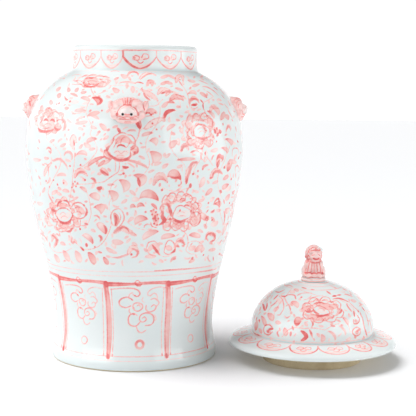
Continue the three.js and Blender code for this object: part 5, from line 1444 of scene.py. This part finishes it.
# Neck: hanging lobes with a knot in each.
NECK_CUTS = [-55.2, -28.1, -7.1, 22.6, 49.0] + [49.0 + 28.4 * k for k in range(1, 9)]
for k in range(24):
    wall("line", [k * 15, k * 15 + 15.4], [344.2 + .3 * math.sin(k), 344.2 + .3 * math.sin(k + 1)], .42, .30 + .24 * hand.random(), 5)
wall("line", [-6, 4, 14], [344.4, 344.2, 344.3], .6, .7, 10)
for k, a in enumerate(NECK_CUTS):
    b = NECK_CUTS[(k + 1) % len(NECK_CUTS)] + (360 if k == len(NECK_CUTS) - 1 else 0)
    m = (a + b) / 2
    L = (b - a) / 2
    tone = (.52, .46, .86, .60, .62, .5, .66, .5, .7, .46, .6, .52, .66)[k]
    wall("line", [a, a + .1], [343.8, 337], .55 if k != 2 else 1.0, [tone * .8, tone], 6)
    wall("line", [a, a + L * .22, a + L * .60, m, b - L * .60, b - L * .22, b], [337.4, 332.6, 327.2, 325.0, 327.0, 332.2, 337.6], [.5, .8, .9, .75, .8, .7, .5] if k != 2 else [1.1, 1.3, 1.2, .9, .9, .8, .6], [tone, tone, tone * .94, tone * .84, tone * .9, tone * .8, tone * .86], 32)
    wall("wash", [a + L * .5, m, b - L * .5], [329.4, 327.6, 329.2], 1.4, .14, 8)
    g = tone * .92
    wall("line", [m - L * .42, m - L * .28, m - L * .04, m - L * .10, m - L * .38], [335.0, 338.6, 337.2, 333.6, 334.4], .5, g, 16)
    wall("line", [m + L * .10, m + L * .22, m + L * .48, m + L * .50, m + L * .20], [336.4, 340.4, 339.6, 336.0, 334.6], .5, g * .9, 16)
    wall("line", [m - L * .12, m + L * .04, m + L * .20], [332.2, 330.6, 332.4], .6, g, 10)
    wall("line", [m - L * .40, m - L * .30], [337.0, 336.2], .9, g * .9, 3)
    wall("wash", [m - L * .2, m + L * .25], [335.6, 336.4], 2.4, .18, 6)
# Shoulder line under the neck.
for k in range(24):
    wall("line", [k * 15, k * 15 + 15.5], [321.9, 321.9], .34, .14 + .14 * hand.random(), 5)


# ------------------------------------------------------------------ lid
LB = Brush([dome.paper], on_dome, (0.0, 180.0))


def dome_ring(r, z, w, i):
    t = np.radians(np.arange(0, 361, 5))
    q = np.stack([r * np.sin(t), -r * np.cos(t), np.full(len(t), z)], axis=1)
    dome.paper.brush("line", q, w, i * (0.8 + 0.3 * np.sin(t * 3)))


dome_z = lambda r: float(np.interp(r, DOME1[::-1, 0], DOME1[::-1, 1]))
for r, w, i in ((17.0, .7, .48), (24.5, .5, .34), (32.5, .5, .44)):
    dome_ring(r, dome_z(r), w, i)
dome_ring(68.9, 33.6, .45, .34)
L_ = LB
# the peony on the near side
L_.W([(303, 309), (312, 307)], 3.6, .36); L_.W([(318, 305), (328, 307), (336, 306)], 4.2, .34); L_.W([(308, 316), (318, 318), (330, 317)], 3.6, .30); L_.W([(318, 311), (326, 312)], 2.6, .12)
L_.K([(305, 310.6), (309, 311.8), (313.4, 310.4)], 1.3, .88); L_.K([(313.6, 304), (319.6, 302.4), (325, 303.8)], 1.1, .84); L_.K([(313, 308.4), (315, 312), (319.4, 314)], 1.2, .86); L_.K([(316, 314.4), (322, 315.8), (328.4, 313.6)], 1.2, .86); L_.K([(338, 313.6), (340.6, 312), (342, 309)], 1.1, .84)
for q in ([(302, 309), (303.6, 304), (308, 303), (312.6, 306)], [(308, 303), (311, 298.6), (316, 298), (319, 301.6)], [(319, 301.6), (323, 297), (329, 298), (331, 302.6)], [(331, 302.6), (336, 300.6), (340.6, 304), (340, 309.6)],
          [(340, 309.6), (343.6, 312), (341.6, 317), (336.6, 317.4)], [(336.6, 317.4), (334, 321.6), (327.6, 321.4), (325, 318)], [(325, 318), (320.6, 322.6), (314, 321.4), (312.6, 317.4)], [(312.6, 317.4), (307, 319), (303, 315.4), (304.6, 311)],
          [(314, 308), (318, 305.6), (323, 307), (327.6, 309.6)], [(327.6, 309.6), (329.6, 312.6), (327, 315)]):
    L_.S(q, .58, .62)
for q in ([(306, 307), (309, 306), (311, 308)], [(322, 301), (325.6, 300.6), (328, 303)], [(333, 305), (336.6, 306), (337, 310)], [(317, 318), (320.4, 317), (323, 319)], [(330, 314), (333.6, 316), (332, 319)], [(318, 309.4), (321.6, 308.6), (324.6, 311)]):
    L_.S(q, .4, .5)
L_.bloom(321, 310, 17, 9.0, [(1.0, 14, 2.8, .44), (.62, 9, 2.4, .54)], 8)
L_.S([(293, 327), (303, 328.4), (314, 328), (325, 330)], .45, .5)
for q in ([(292, 288), (286, 296), (280, 303), (275, 312), (273, 322)], [(302, 321), (296, 327), (288, 330), (282, 337)], [(342, 317), (348, 325), (350, 333)], [(340, 300), (348, 304), (354, 310), (358, 318)], [(325, 330), (332, 326), (340, 323)], [(300, 290), (310, 293), (318, 296)]):
    L_.S(q, .42, .44)


def brim(layer, phis, rs, w, i, n=20):
    q = bezier(np.stack([np.asarray(phis, float), np.asarray(rs, float)], 1), n) if len(phis) > 2 else np.stack([np.linspace(phis[0], phis[-1], n), np.linspace(rs[0], rs[-1], n)], 1)
    a, r = np.radians(q[:, 0]), q[:, 1]
    top = FL1[np.argmax(FL1[:, 0]):]
    z = np.interp(r, top[::-1, 0], top[::-1, 1])
    p = np.stack([r * np.sin(a), -r * np.cos(a), z], axis=1)
    w = np.interp(np.linspace(0, 1, len(p)), np.linspace(0, 1, np.size(w)), np.atleast_1d(w))
    i = np.interp(np.linspace(0, 1, len(p)), np.linspace(0, 1, np.size(i)), np.atleast_1d(i))
    flange.paper.brush(layer, p, w, i)


BRIM_CUTS = [-80.0, -54.2, -23.7, -0.1, 26.3, 47.3] + [47.3 + 25.87 * k for k in range(1, 9)]
for k, a in enumerate(BRIM_CUTS):
    b = BRIM_CUTS[(k + 1) % len(BRIM_CUTS)] + (360 if k == len(BRIM_CUTS) - 1 else 0)
    m, L = (a + b) / 2, (b - a) / 2
    tone = (.6, .66, .74, .62, .7, .58, .66)[k % 7]
    brim("line", [a, a + L * .10, a + L * .44, m, b - L * .44, b - L * .10, b], [71.4, 79.5, 86.6, 89.4, 86.6, 79.5, 71.4], [.6, .9, 1.0, .8, .9, .9, .6], [tone * .8, tone, tone, tone * .8, tone * .95, tone, tone * .8], 34)
    brim("wash", [a + L * .42, m, b - L * .42], [83.2, 85.8, 83.2], 1.6, .20, 10)
    brim("line", [m - L * .46, m - L * .30, m - L * .02, m - L * .08, m - L * .40], [78.6, 74.4, 75.6, 79.6, 80.4], .55, tone * .84, 14)
    brim("line", [m + L * .08, m + L * .22, m + L * .48, m + L * .46, m + L * .16], [77.2, 73.6, 75.2, 79.4, 80.2], .55, tone * .8, 14)
    brim("line", [m - L * .16, m + L * .02, m + L * .20], [82.2, 84.0, 82.0], .65, tone * .84, 10)
    brim("wash", [m - L * .2, m + L * .2], [78.6, 78.4], 3.0, .20, 6)
for k in range(24):
    brim("line", [k * 15, k * 15 + 15.4], [69.8, 69.8], .36, .24 + .16 * hand.random(), 4)
# Plinth of the finial: two soft bands.
for z, w, t in ((91.0, .6, .5), (93.2, .5, .36)):
    an = np.radians(np.arange(0, 361, 10))
    rr = float(np.interp(z, plinth.ring[:, 1][2:-2], plinth.ring[:, 0][2:-2]))
    plinth.paper.brush("line", np.stack([rr * np.sin(an), -rr * np.cos(an), np.full(len(an), z)], axis=1), w, t)

# ------------------------------------------------------------------ leaves and small flowers on the lid
leaves([(255.4, 331, 256.6, 321, 2.1, -1.7, .80, .5), (261, 315.4, 264.8, 326.6, -3.2, .8, .76, .44), (267.4, 313, 272.2, 321.2, -4.5, 1.7, .76, .4), (279.2, 306.6, 273.6, 311.6, 2.1, -1.7, .52, .6),
        (290.4, 302, 297.8, 308.4, -4.9, .4, .66, .4), (294.2, 323.6, 299.4, 316.6, 4.5, -2.5, .92, .5), (284.6, 327.2, 286.4, 336.2, 2.6, -2.7, .66, .6), (321, 333.8, 320.8, 342, -4.7, .2, .58, .6),
        (327, 331, 334.6, 341.2, -4.7, -1.7, .56, .5), (338, 325.6, 345, 335.8, -3.8, -1.3, .48, .5), (342.2, 316.8, 347.6, 325.6, -3.4, .4, .50, .5), (293.4, 289.4, 299.2, 290.8, -1.3, 1.5, .48, .7),
        (264, 296.6, 268, 292.4, -1.6, 1.6, .40, .6), (304, 322, 307.6, 326.6, -1.8, 1.4, .40, .6), (318, 325.6, 324, 326.6, -1.2, 1.4, .36, .6), (350, 299.6, 356.6, 302, -1.4, 1.4, .44, .6)], LB)
for pts, w, i in (
        ([(262.4, 303.4), (263.8, 307), (264.6, 310.8)], 1.5, .92), ([(267, 302.8), (266.6, 307), (265.2, 310.8)], 1.4, .88), ([(256.8, 317.2), (256.2, 320.4)], 1.4, .86), ([(260.6, 306.4), (259.8, 311.2)], 1.1, .72),
        ([(268, 329.4), (273.6, 328.8)], 1.3, .90), ([(275.2, 291.4), (279, 292.2), (282, 291), (284.6, 289.6)], 1.2, .74), ([(273.4, 299.6), (276, 297), (278.2, 294.6)], 1.4, .82), ([(280.8, 295.2), (284, 296.4), (287.4, 295.2)], 1.2, .84),
        ([(270.2, 306.2), (274, 304), (277.2, 300.4)], 1.2, .68), ([(272.8, 294.8), (270.4, 299.4)], 1.0, .42), ([(284.4, 315.2), (287, 317.8), (290.4, 315.4)], .9, .52), ([(294.4, 323.4), (297, 324.6), (299.8, 323.2)], 1.3, .95),
        ([(300.6, 330.8), (303.6, 332.6), (306.4, 336.4), (303.6, 339.4), (301.2, 340.6)], 2.1, .90), ([(310.4, 320.2), (312.9, 323.6), (311.3, 327.2)], .9, .72), ([(292.2, 325.8), (293.6, 330.2)], 1.2, .64), ([(291, 331.4), (290.4, 336.2)], 1.4, .64),
        ([(278.6, 330.4), (277.4, 333.6), (279.4, 336.8)], 1.1, .60), ([(309.2, 329.4), (311, 333), (312.4, 337.6)], 1.2, .72), ([(330.4, 325.6), (335.2, 326.4)], 1.1, .64), ([(335.4, 319.4), (341.2, 321.8)], 1.1, .48),
        ([(332.4, 299.2), (338, 298.3), (344, 299.8), (349.2, 302.2)], 1.3, .74), ([(326.4, 290.8), (331, 294.4)], 1.4, .74), ([(332.2, 296.4), (336.6, 295.6)], 1.3, .92), ([(336.8, 295.4), (341.2, 294.6)], 1.2, .72),
        ([(344.2, 294.2), (348, 294.8), (352.6, 296.6)], 1.4, .58), ([(301.4, 287), (306.6, 288.8)], 1.2, .62), ([(310.4, 289.4), (314.8, 289.8)], 1.0, .64), ([(330.8, 286.2), (337.8, 288.4)], 1.3, .52), ([(342.4, 288.2), (346.6, 290.8)], 1.3, .52),
        ([(283.4, 286.2), (288, 285.2), (292.8, 286.8)], 1.1, .54), ([(346.4, 303.4), (348.6, 307.6), (352.2, 311.8)], 1.3, .62), ([(353.8, 310.8), (354.4, 316.6)], 1.4, .88), ([(356.4, 331.4), (360.6, 328.8)], 1.3, .88),
        ([(361.4, 306.4), (365.2, 311.4)], 1.4, .74), ([(362.4, 316.8), (363.6, 324), (366.2, 335.2)], 1.1, .74), ([(365, 311.8), (367.6, 320), (368.8, 326.4)], 1.0, .62), ([(364.4, 327.8), (367.2, 336.2)], 1.4, .72),
        ([(369, 317.8), (371, 326), (371.6, 332.2)], .9, .62), ([(359.8, 311.8), (362.2, 318.2)], 1.0, .62), ([(256.4, 308), (254.8, 314)], .9, .5), ([(251.8, 332.4), (257, 334.6), (261.6, 336.4)], 1.0, .80)):
    LB.K(pts, w, i)
for pts, w, i in (
        ([(272.6, 328), (269.6, 325), (265.4, 325.4), (263.6, 329.6), (265, 333.6), (269, 334.8), (272.4, 331.8)], .8, .68), ([(287, 295), (291, 294.6), (294.6, 295.6), (295.8, 299)], .9, .62),
        ([(279, 296), (282, 299), (283.6, 304), (283.4, 309), (280, 314.6), (277.4, 314.8)], .7, .54), ([(284.6, 297), (286, 301), (288, 304)], .6, .48), ([(286, 306), (288.6, 304.8), (290.2, 308.6), (290.4, 310.6)], .8, .58),
        ([(298, 294.6), (304, 293), (312, 293.2)], .7, .52), ([(350, 303), (354, 307), (358.6, 311)], .8, .62), ([(357.6, 315.6), (359.4, 319), (358, 323), (354, 323.6), (353.4, 319.4)], .7, .72),
        ([(360.6, 329), (357, 327.2), (353.4, 329.4), (352.6, 333), (356, 335.8), (359.8, 334), (360.4, 330.6)], .8, .68), ([(303, 300), (309, 298.6), (316, 296.4), (323, 295.6)], .5, .42), ([(268, 312), (272, 306), (277, 303)], .5, .42)):
    LB.S(pts, w, i)
LB.W([(267, 331), (270, 332)], 2.3, .42); LB.W([(277, 299), (281, 303)], 2.4, .18); LB.W([(276, 322), (280, 323)], 2.4, .34); LB.W([(355, 321), (357, 321)], 2.1, .42); LB.W([(355.6, 332), (358, 332.6)], 2.1, .42)
LB.D(301.4, 297.2, 1.3, .64); LB.D(358.2, 311.2, 1.4, .80); LB.D(268, 331.4, 1.5, .70)
# ------------------------------------------------------------------ the two quarters under the side masks
# The painting runs on round the jar: here strokes are given unrolled, across and down from the top, about the side's middle.
def unrolled(side, low, high, top_v, scale):
    keep = side[(side[:, 1] >= low) & (side[:, 1] <= high)]
    s = np.concatenate([[0], np.cumsum(np.linalg.norm(np.diff(keep, axis=0), axis=1))])
    s = s[-1] - s

    def onto(uv):
        uv = np.asarray(uv, float)
        down = np.clip((uv[:, 1] - top_v) * scale, 0, s[0])
        r = np.interp(down, s[::-1], keep[::-1, 0])
        z = np.interp(down, s[::-1], keep[::-1, 1])
        phi = math.pi / 2 + uv[:, 0] * scale / np.maximum(r, 12.0)
        return np.stack([r * np.sin(phi), -r * np.cos(phi), z], axis=1)
    return onto


def clear(brush, uv, gap):
    """Whether nothing has been painted within the gap of these points."""
    p = brush.onto(uv).astype(np.float32)
    for paper in brush.papers:
        idx = paper.near(p, gap)
        if len(idx) == 0:
            continue
        q = paper.p[idx]
        close = np.zeros(len(idx), bool)
        for a in p:
            close |= ((q - a) ** 2).sum(1) < gap * gap
        hit = idx[close]
        if len(hit) and min(paper.d["line"][hit].min(), paper.d["wash"][hit].min()) < 0.0:
            return False
    return True


def scatter(brush, box, count, seed, sizes, free=None, flow=0.0, tones=(.44, .52, .62, .72, .84), room=(1.3, .14)):
    """Half-moon leaves and short loaded strokes wherever there is still white, leaning along a slow curling flow."""
    rng = np.random.default_rng(seed)
    x0, y0, x1, y1 = box
    done = []
    for _ in range(count):
        x, y = rng.uniform(x0, x1), rng.uniform(y0, y1)
        big = rng.random() < 0.62
        size = rng.uniform(*sizes) * (1.0 if big else 0.55)
        if any((x - a) ** 2 + (y - b) ** 2 < (0.62 * (size + c)) ** 2 for a, b, c in done):
            continue
        if free and not free(x, y, size):
            continue
        ang = flow + 1.9 * math.sin(x * 0.085 + 1.3) + 1.6 * math.cos(y * 0.062 - 0.4) + rng.normal(0, 0.45)
        dx, dy = math.cos(ang) * size / 2, math.sin(ang) * size / 2
        if not clear(brush, np.array([(x - dx, y - dy), (x, y), (x + dx, y + dy)]), room[0] + size * room[1]):
            continue
        done.append((x, y, size))
        hand = 1 if math.sin(x * 0.085 + y * 0.05) > 0 else -1
        tone = rng.choice(tones)
        if big:
            brush.F(x - dx, y - dy, x + dx, y + dy, hand * size * rng.uniform(.30, .52), hand * size * rng.uniform(-.16, .12), tone, rng.uniform(.28, .55))
        else:
            bend = hand * size * .22
            brush.K([(x - dx, y - dy), (x - dy / size * bend, y + dx / size * bend), (x + dx, y + dy)], rng.uniform(.8, 1.5), tone)


SB = Brush(JAR_PAPERS, unrolled(JAR_SIDE, SEAM + 2.5, 318.0, 60, 1.04))
SB.bloom(1, 158, 13.5, 10.5, [(1.0, 12, 3.2, .40), (.62, 8, 3.0, .52)], 21)
SB.bloom(-17, 214, 14.5, 13.0, [(1.0, 13, 4.0, .42), (.66, 9, 3.4, .54)], 22)
SB.bloom(20, 232, 13.0, 11.5, [(1.0, 12, 3.8, .40), (.64, 8, 3.2, .50)], 23)
SB.bloom(-2, 73, 13, 5.4, [(1.0, 12, 2.4, .44), (.56, 7, 2.0, .60)], 24)
for stem in ([(0, 169), (-3, 178), (-9, 188), (-14, 199)], [(2, 169), (8, 184), (15, 204), (18, 219)], [(12, 150), (20, 142), (27, 130), (30, 117), (27, 104)],
             [(-12, 152), (-21, 143), (-28, 131), (-31, 116)], [(-27, 104), (-22, 92), (-14, 82)], [(14, 76), (22, 84), (28, 96)], [(-4, 226), (-6, 238), (-14, 250), (-25, 255)]):
    SB.S(stem, .45, .44)
for x, y in ((-9, 188), (12, 194), (24, 135), (-25, 137), (-18, 87), (25, 90), (-10, 246)):
    SB.D(x, y, 1.1, .7)
scatter(SB, (-47, 64, 47, 259), 1500, 31, (8.0, 13.5), lambda x, y, s: not (abs(x) < 25 and 92 < y < 134))

DB = Brush(LB.papers, unrolled(DOME[::-1] if DOME[0, 1] > DOME[-1, 1] else DOME, 37.0, 86.5, 290, 1.0))
DB.bloom(-1, 322, 12.5, 9.0, [(1.0, 12, 2.8, .44), (.60, 8, 2.4, .52)], 25)
scatter(DB, (-30, 294, 30, 350), 420, 32, (6.5, 10.5))


# Paler leaves in the gaps that are left between the drawn ones, off the hearts of the flowers.
HEARTS = ((93, 81, 15, 6), (49.5, 121, 13, 12), (198.6, 131, 17, 17), (121, 149, 15, 12), (63, 214, 17, 16), (180.6, 211.5, 20, 17), (123, 110, 21, 17))
off_hearts = lambda x, y, s: all(((x - a) / b) ** 2 + ((y - c) / d) ** 2 > 1 for a, c, b, d in HEARTS)
scatter(B, (36, 134, 238, 264), 1500, 33, (5.0, 9.0), off_hearts, 0.4, (.26, .32, .40, .50), (0.9, .05))
scatter(B, (64, 74, 214, 132), 500, 34, (4.0, 7.5), off_hearts, 0.4, (.28, .34, .42, .52), (0.9, .05))
scatter(LB, (254, 290, 372, 346), 420, 35, (3.6, 7.0), lambda x, y, s: ((x - 321) / 18) ** 2 + ((y - 310) / 11) ** 2 > 1, 0.4, (.26, .34, .44, .58), (0.8, .05))

# ------------------------------------------------------------------ finish the painted pieces
def pools(t, row_value, bare=None):
    n = len(t.all)
    pool = np.zeros(n, np.float32)
    pool[:t.rows * t.cols] = np.repeat(row_value(t.ring[:, 0], t.ring[:, 1]).astype(np.float32), t.cols)
    out = {"pool": pool}
    b = np.zeros(n, np.float32)
    if bare is not None:
        b[:t.rows * t.cols] = np.repeat(bare(t.ring[:, 0], t.ring[:, 1]).astype(np.float32), t.cols)
    out["bare"] = b
    return out


lower.finish(pools(lower, lambda r, z: np.clip((14 - z) / 14, 0, 1) * .5 + .1, lambda r, z: ((z < 1.5) & (r > 82.5)) * 1.0))
upper.finish(pools(upper, lambda r, z: np.clip((z - 312) / 12, 0, 1) * .5 + .1))
neck.finish(pools(neck, lambda r, z: np.clip((328 - z) / 6, 0, 1) * .5 + .1))
dome.finish(pools(dome, lambda r, z: np.clip((37 - z) / 6, 0, 1) * .5 + .1))
flange.finish(pools(flange, lambda r, z: np.clip((72 - r) / 5, 0, 1) * .5 + .1, lambda r, z: ((z < 23.9) & (r < 80)) * 1.0 + ((np.abs(z - 24.0) < 0.05) & (r < 81)) * 1.0))
plinth.finish(pools(plinth, lambda r, z: z * 0 + .2))
dress(lower.ob, painted, "jar", ["jar_lower_section"])
dress(upper.ob, painted, "jar", ["jar_upper_section"])
dress(neck.ob, painted, "jar", ["neck_collar"])
dress(dome.ob, painted, "lid", ["lid_dome"])
dress(flange.ob, painted, "lid", ["lid_flange"])
dress(locating.ob, clay, "lid", ["lid_locating_ring"])
dress(plinth.ob, painted, "lid", ["finial_plinth"])

# ------------------------------------------------------------------ studio
def flat_material(name, colour, rough=0.7, emit=0.0):
    k = Nodes(name)
    k.bsdf.inputs["Base Color"].default_value = colour
    k.bsdf.inputs["Roughness"].default_value = rough
    k.bsdf.inputs["Specular IOR Level"].default_value = 0.15
    if emit:
        k.bsdf.inputs["Emission Color"].default_value = (1, 1, 1, 1)
        k.bsdf.inputs["Emission Strength"].default_value = emit
    return k.mat


def floor_mesh():
    n = 33
    xs, ys = np.linspace(-6000, 6000, n), np.linspace(-4000, 8000, n)
    v = np.array([(x, y, -0.02) for y in ys for x in xs])
    f = np.array([(j * n + i, j * n + i + 1, (j + 1) * n + i + 1, (j + 1) * n + i) for j in range(n - 1) for i in range(n - 1)])
    return new_object("studio_floor", v, f, (0, 0))


ground = floor_mesh()
ground.data.materials.append(flat_material("studio_white", (0.872, 0.88, 0.893, 1), 0.9, 0.05))

world = bpy.data.worlds.new("studio")
scene.world = world
world.use_nodes = True
wt = world.node_tree
wt.nodes.clear()
wo = wt.nodes.new("ShaderNodeOutputWorld")
bg = wt.nodes.new("ShaderNodeBackground")
bg.inputs["Color"].default_value = (1, 1, 1, 1)
# White all round near the horizon, dimmer overhead, so that the porcelain keeps its shading.
wc = wt.nodes.new("ShaderNodeTexCoord")
wx = wt.nodes.new("ShaderNodeSeparateXYZ")
wr = wt.nodes.new("ShaderNodeMapRange")
wr.interpolation_type = "SMOOTHSTEP"
for i, v in enumerate((0.12, 0.34, 1.05, 0.28)):
    wr.inputs[i + 1].default_value = v
wt.links.new(wc.outputs["Generated"], wx.inputs[0])
wt.links.new(wx.outputs[2], wr.inputs[0])
wt.links.new(wr.outputs[0], bg.inputs["Strength"])
wt.links.new(bg.outputs[0], wo.inputs[0])


def softbox(name, where, target, size, power, colour=(1, 1, 1)):
    ld = bpy.data.lights.new(name, "AREA")
    ld.shape = "RECTANGLE"
    ld.size, ld.size_y = size
    ld.energy = power
    ld.color = colour
    ob = bpy.data.objects.new(name, ld)
    scene.collection.objects.link(ob)
    ob.location = where
    d = Vector(target) - Vector(where)
    ob.rotation_mode = "QUATERNION"
    ob.rotation_quaternion = d.to_track_quat("-Z", "Y")
    return ob


left = softbox("window_left", (-1.42, -1.20, 0.62), (-0.08, 0, 0.26), (1.5, 1.1), 13.0)
right = softbox("window_right", (1.50, -1.16, 0.62), (-0.08, 0, 0.26), (1.6, 1.1), 12.5)
for ob in (left, right):
    ob.visible_diffuse = False
softbox("side_left", (-1.9, -0.1, 0.85), (-0.08, 0, 0.28), (1.4, 1.2), 3.6)
softbox("side_right", (1.9, -0.1, 0.5), (-0.08, 0, 0.14), (1.4, 1.0), 8.8)
sun_data = bpy.data.lights.new("overhead", "SUN")
sun_data.energy = 2.6
sun_data.angle = math.radians(42)
sun = bpy.data.objects.new("overhead", sun_data)
scene.collection.objects.link(sun)
sun.rotation_mode = "QUATERNION"
sun.rotation_quaternion = Vector((0.41, 0.07, -0.91)).to_track_quat("-Z", "Y")
sun.visible_glossy = False
scene.view_settings.view_transform = "Standard"
scene.view_settings.exposure = 0.0
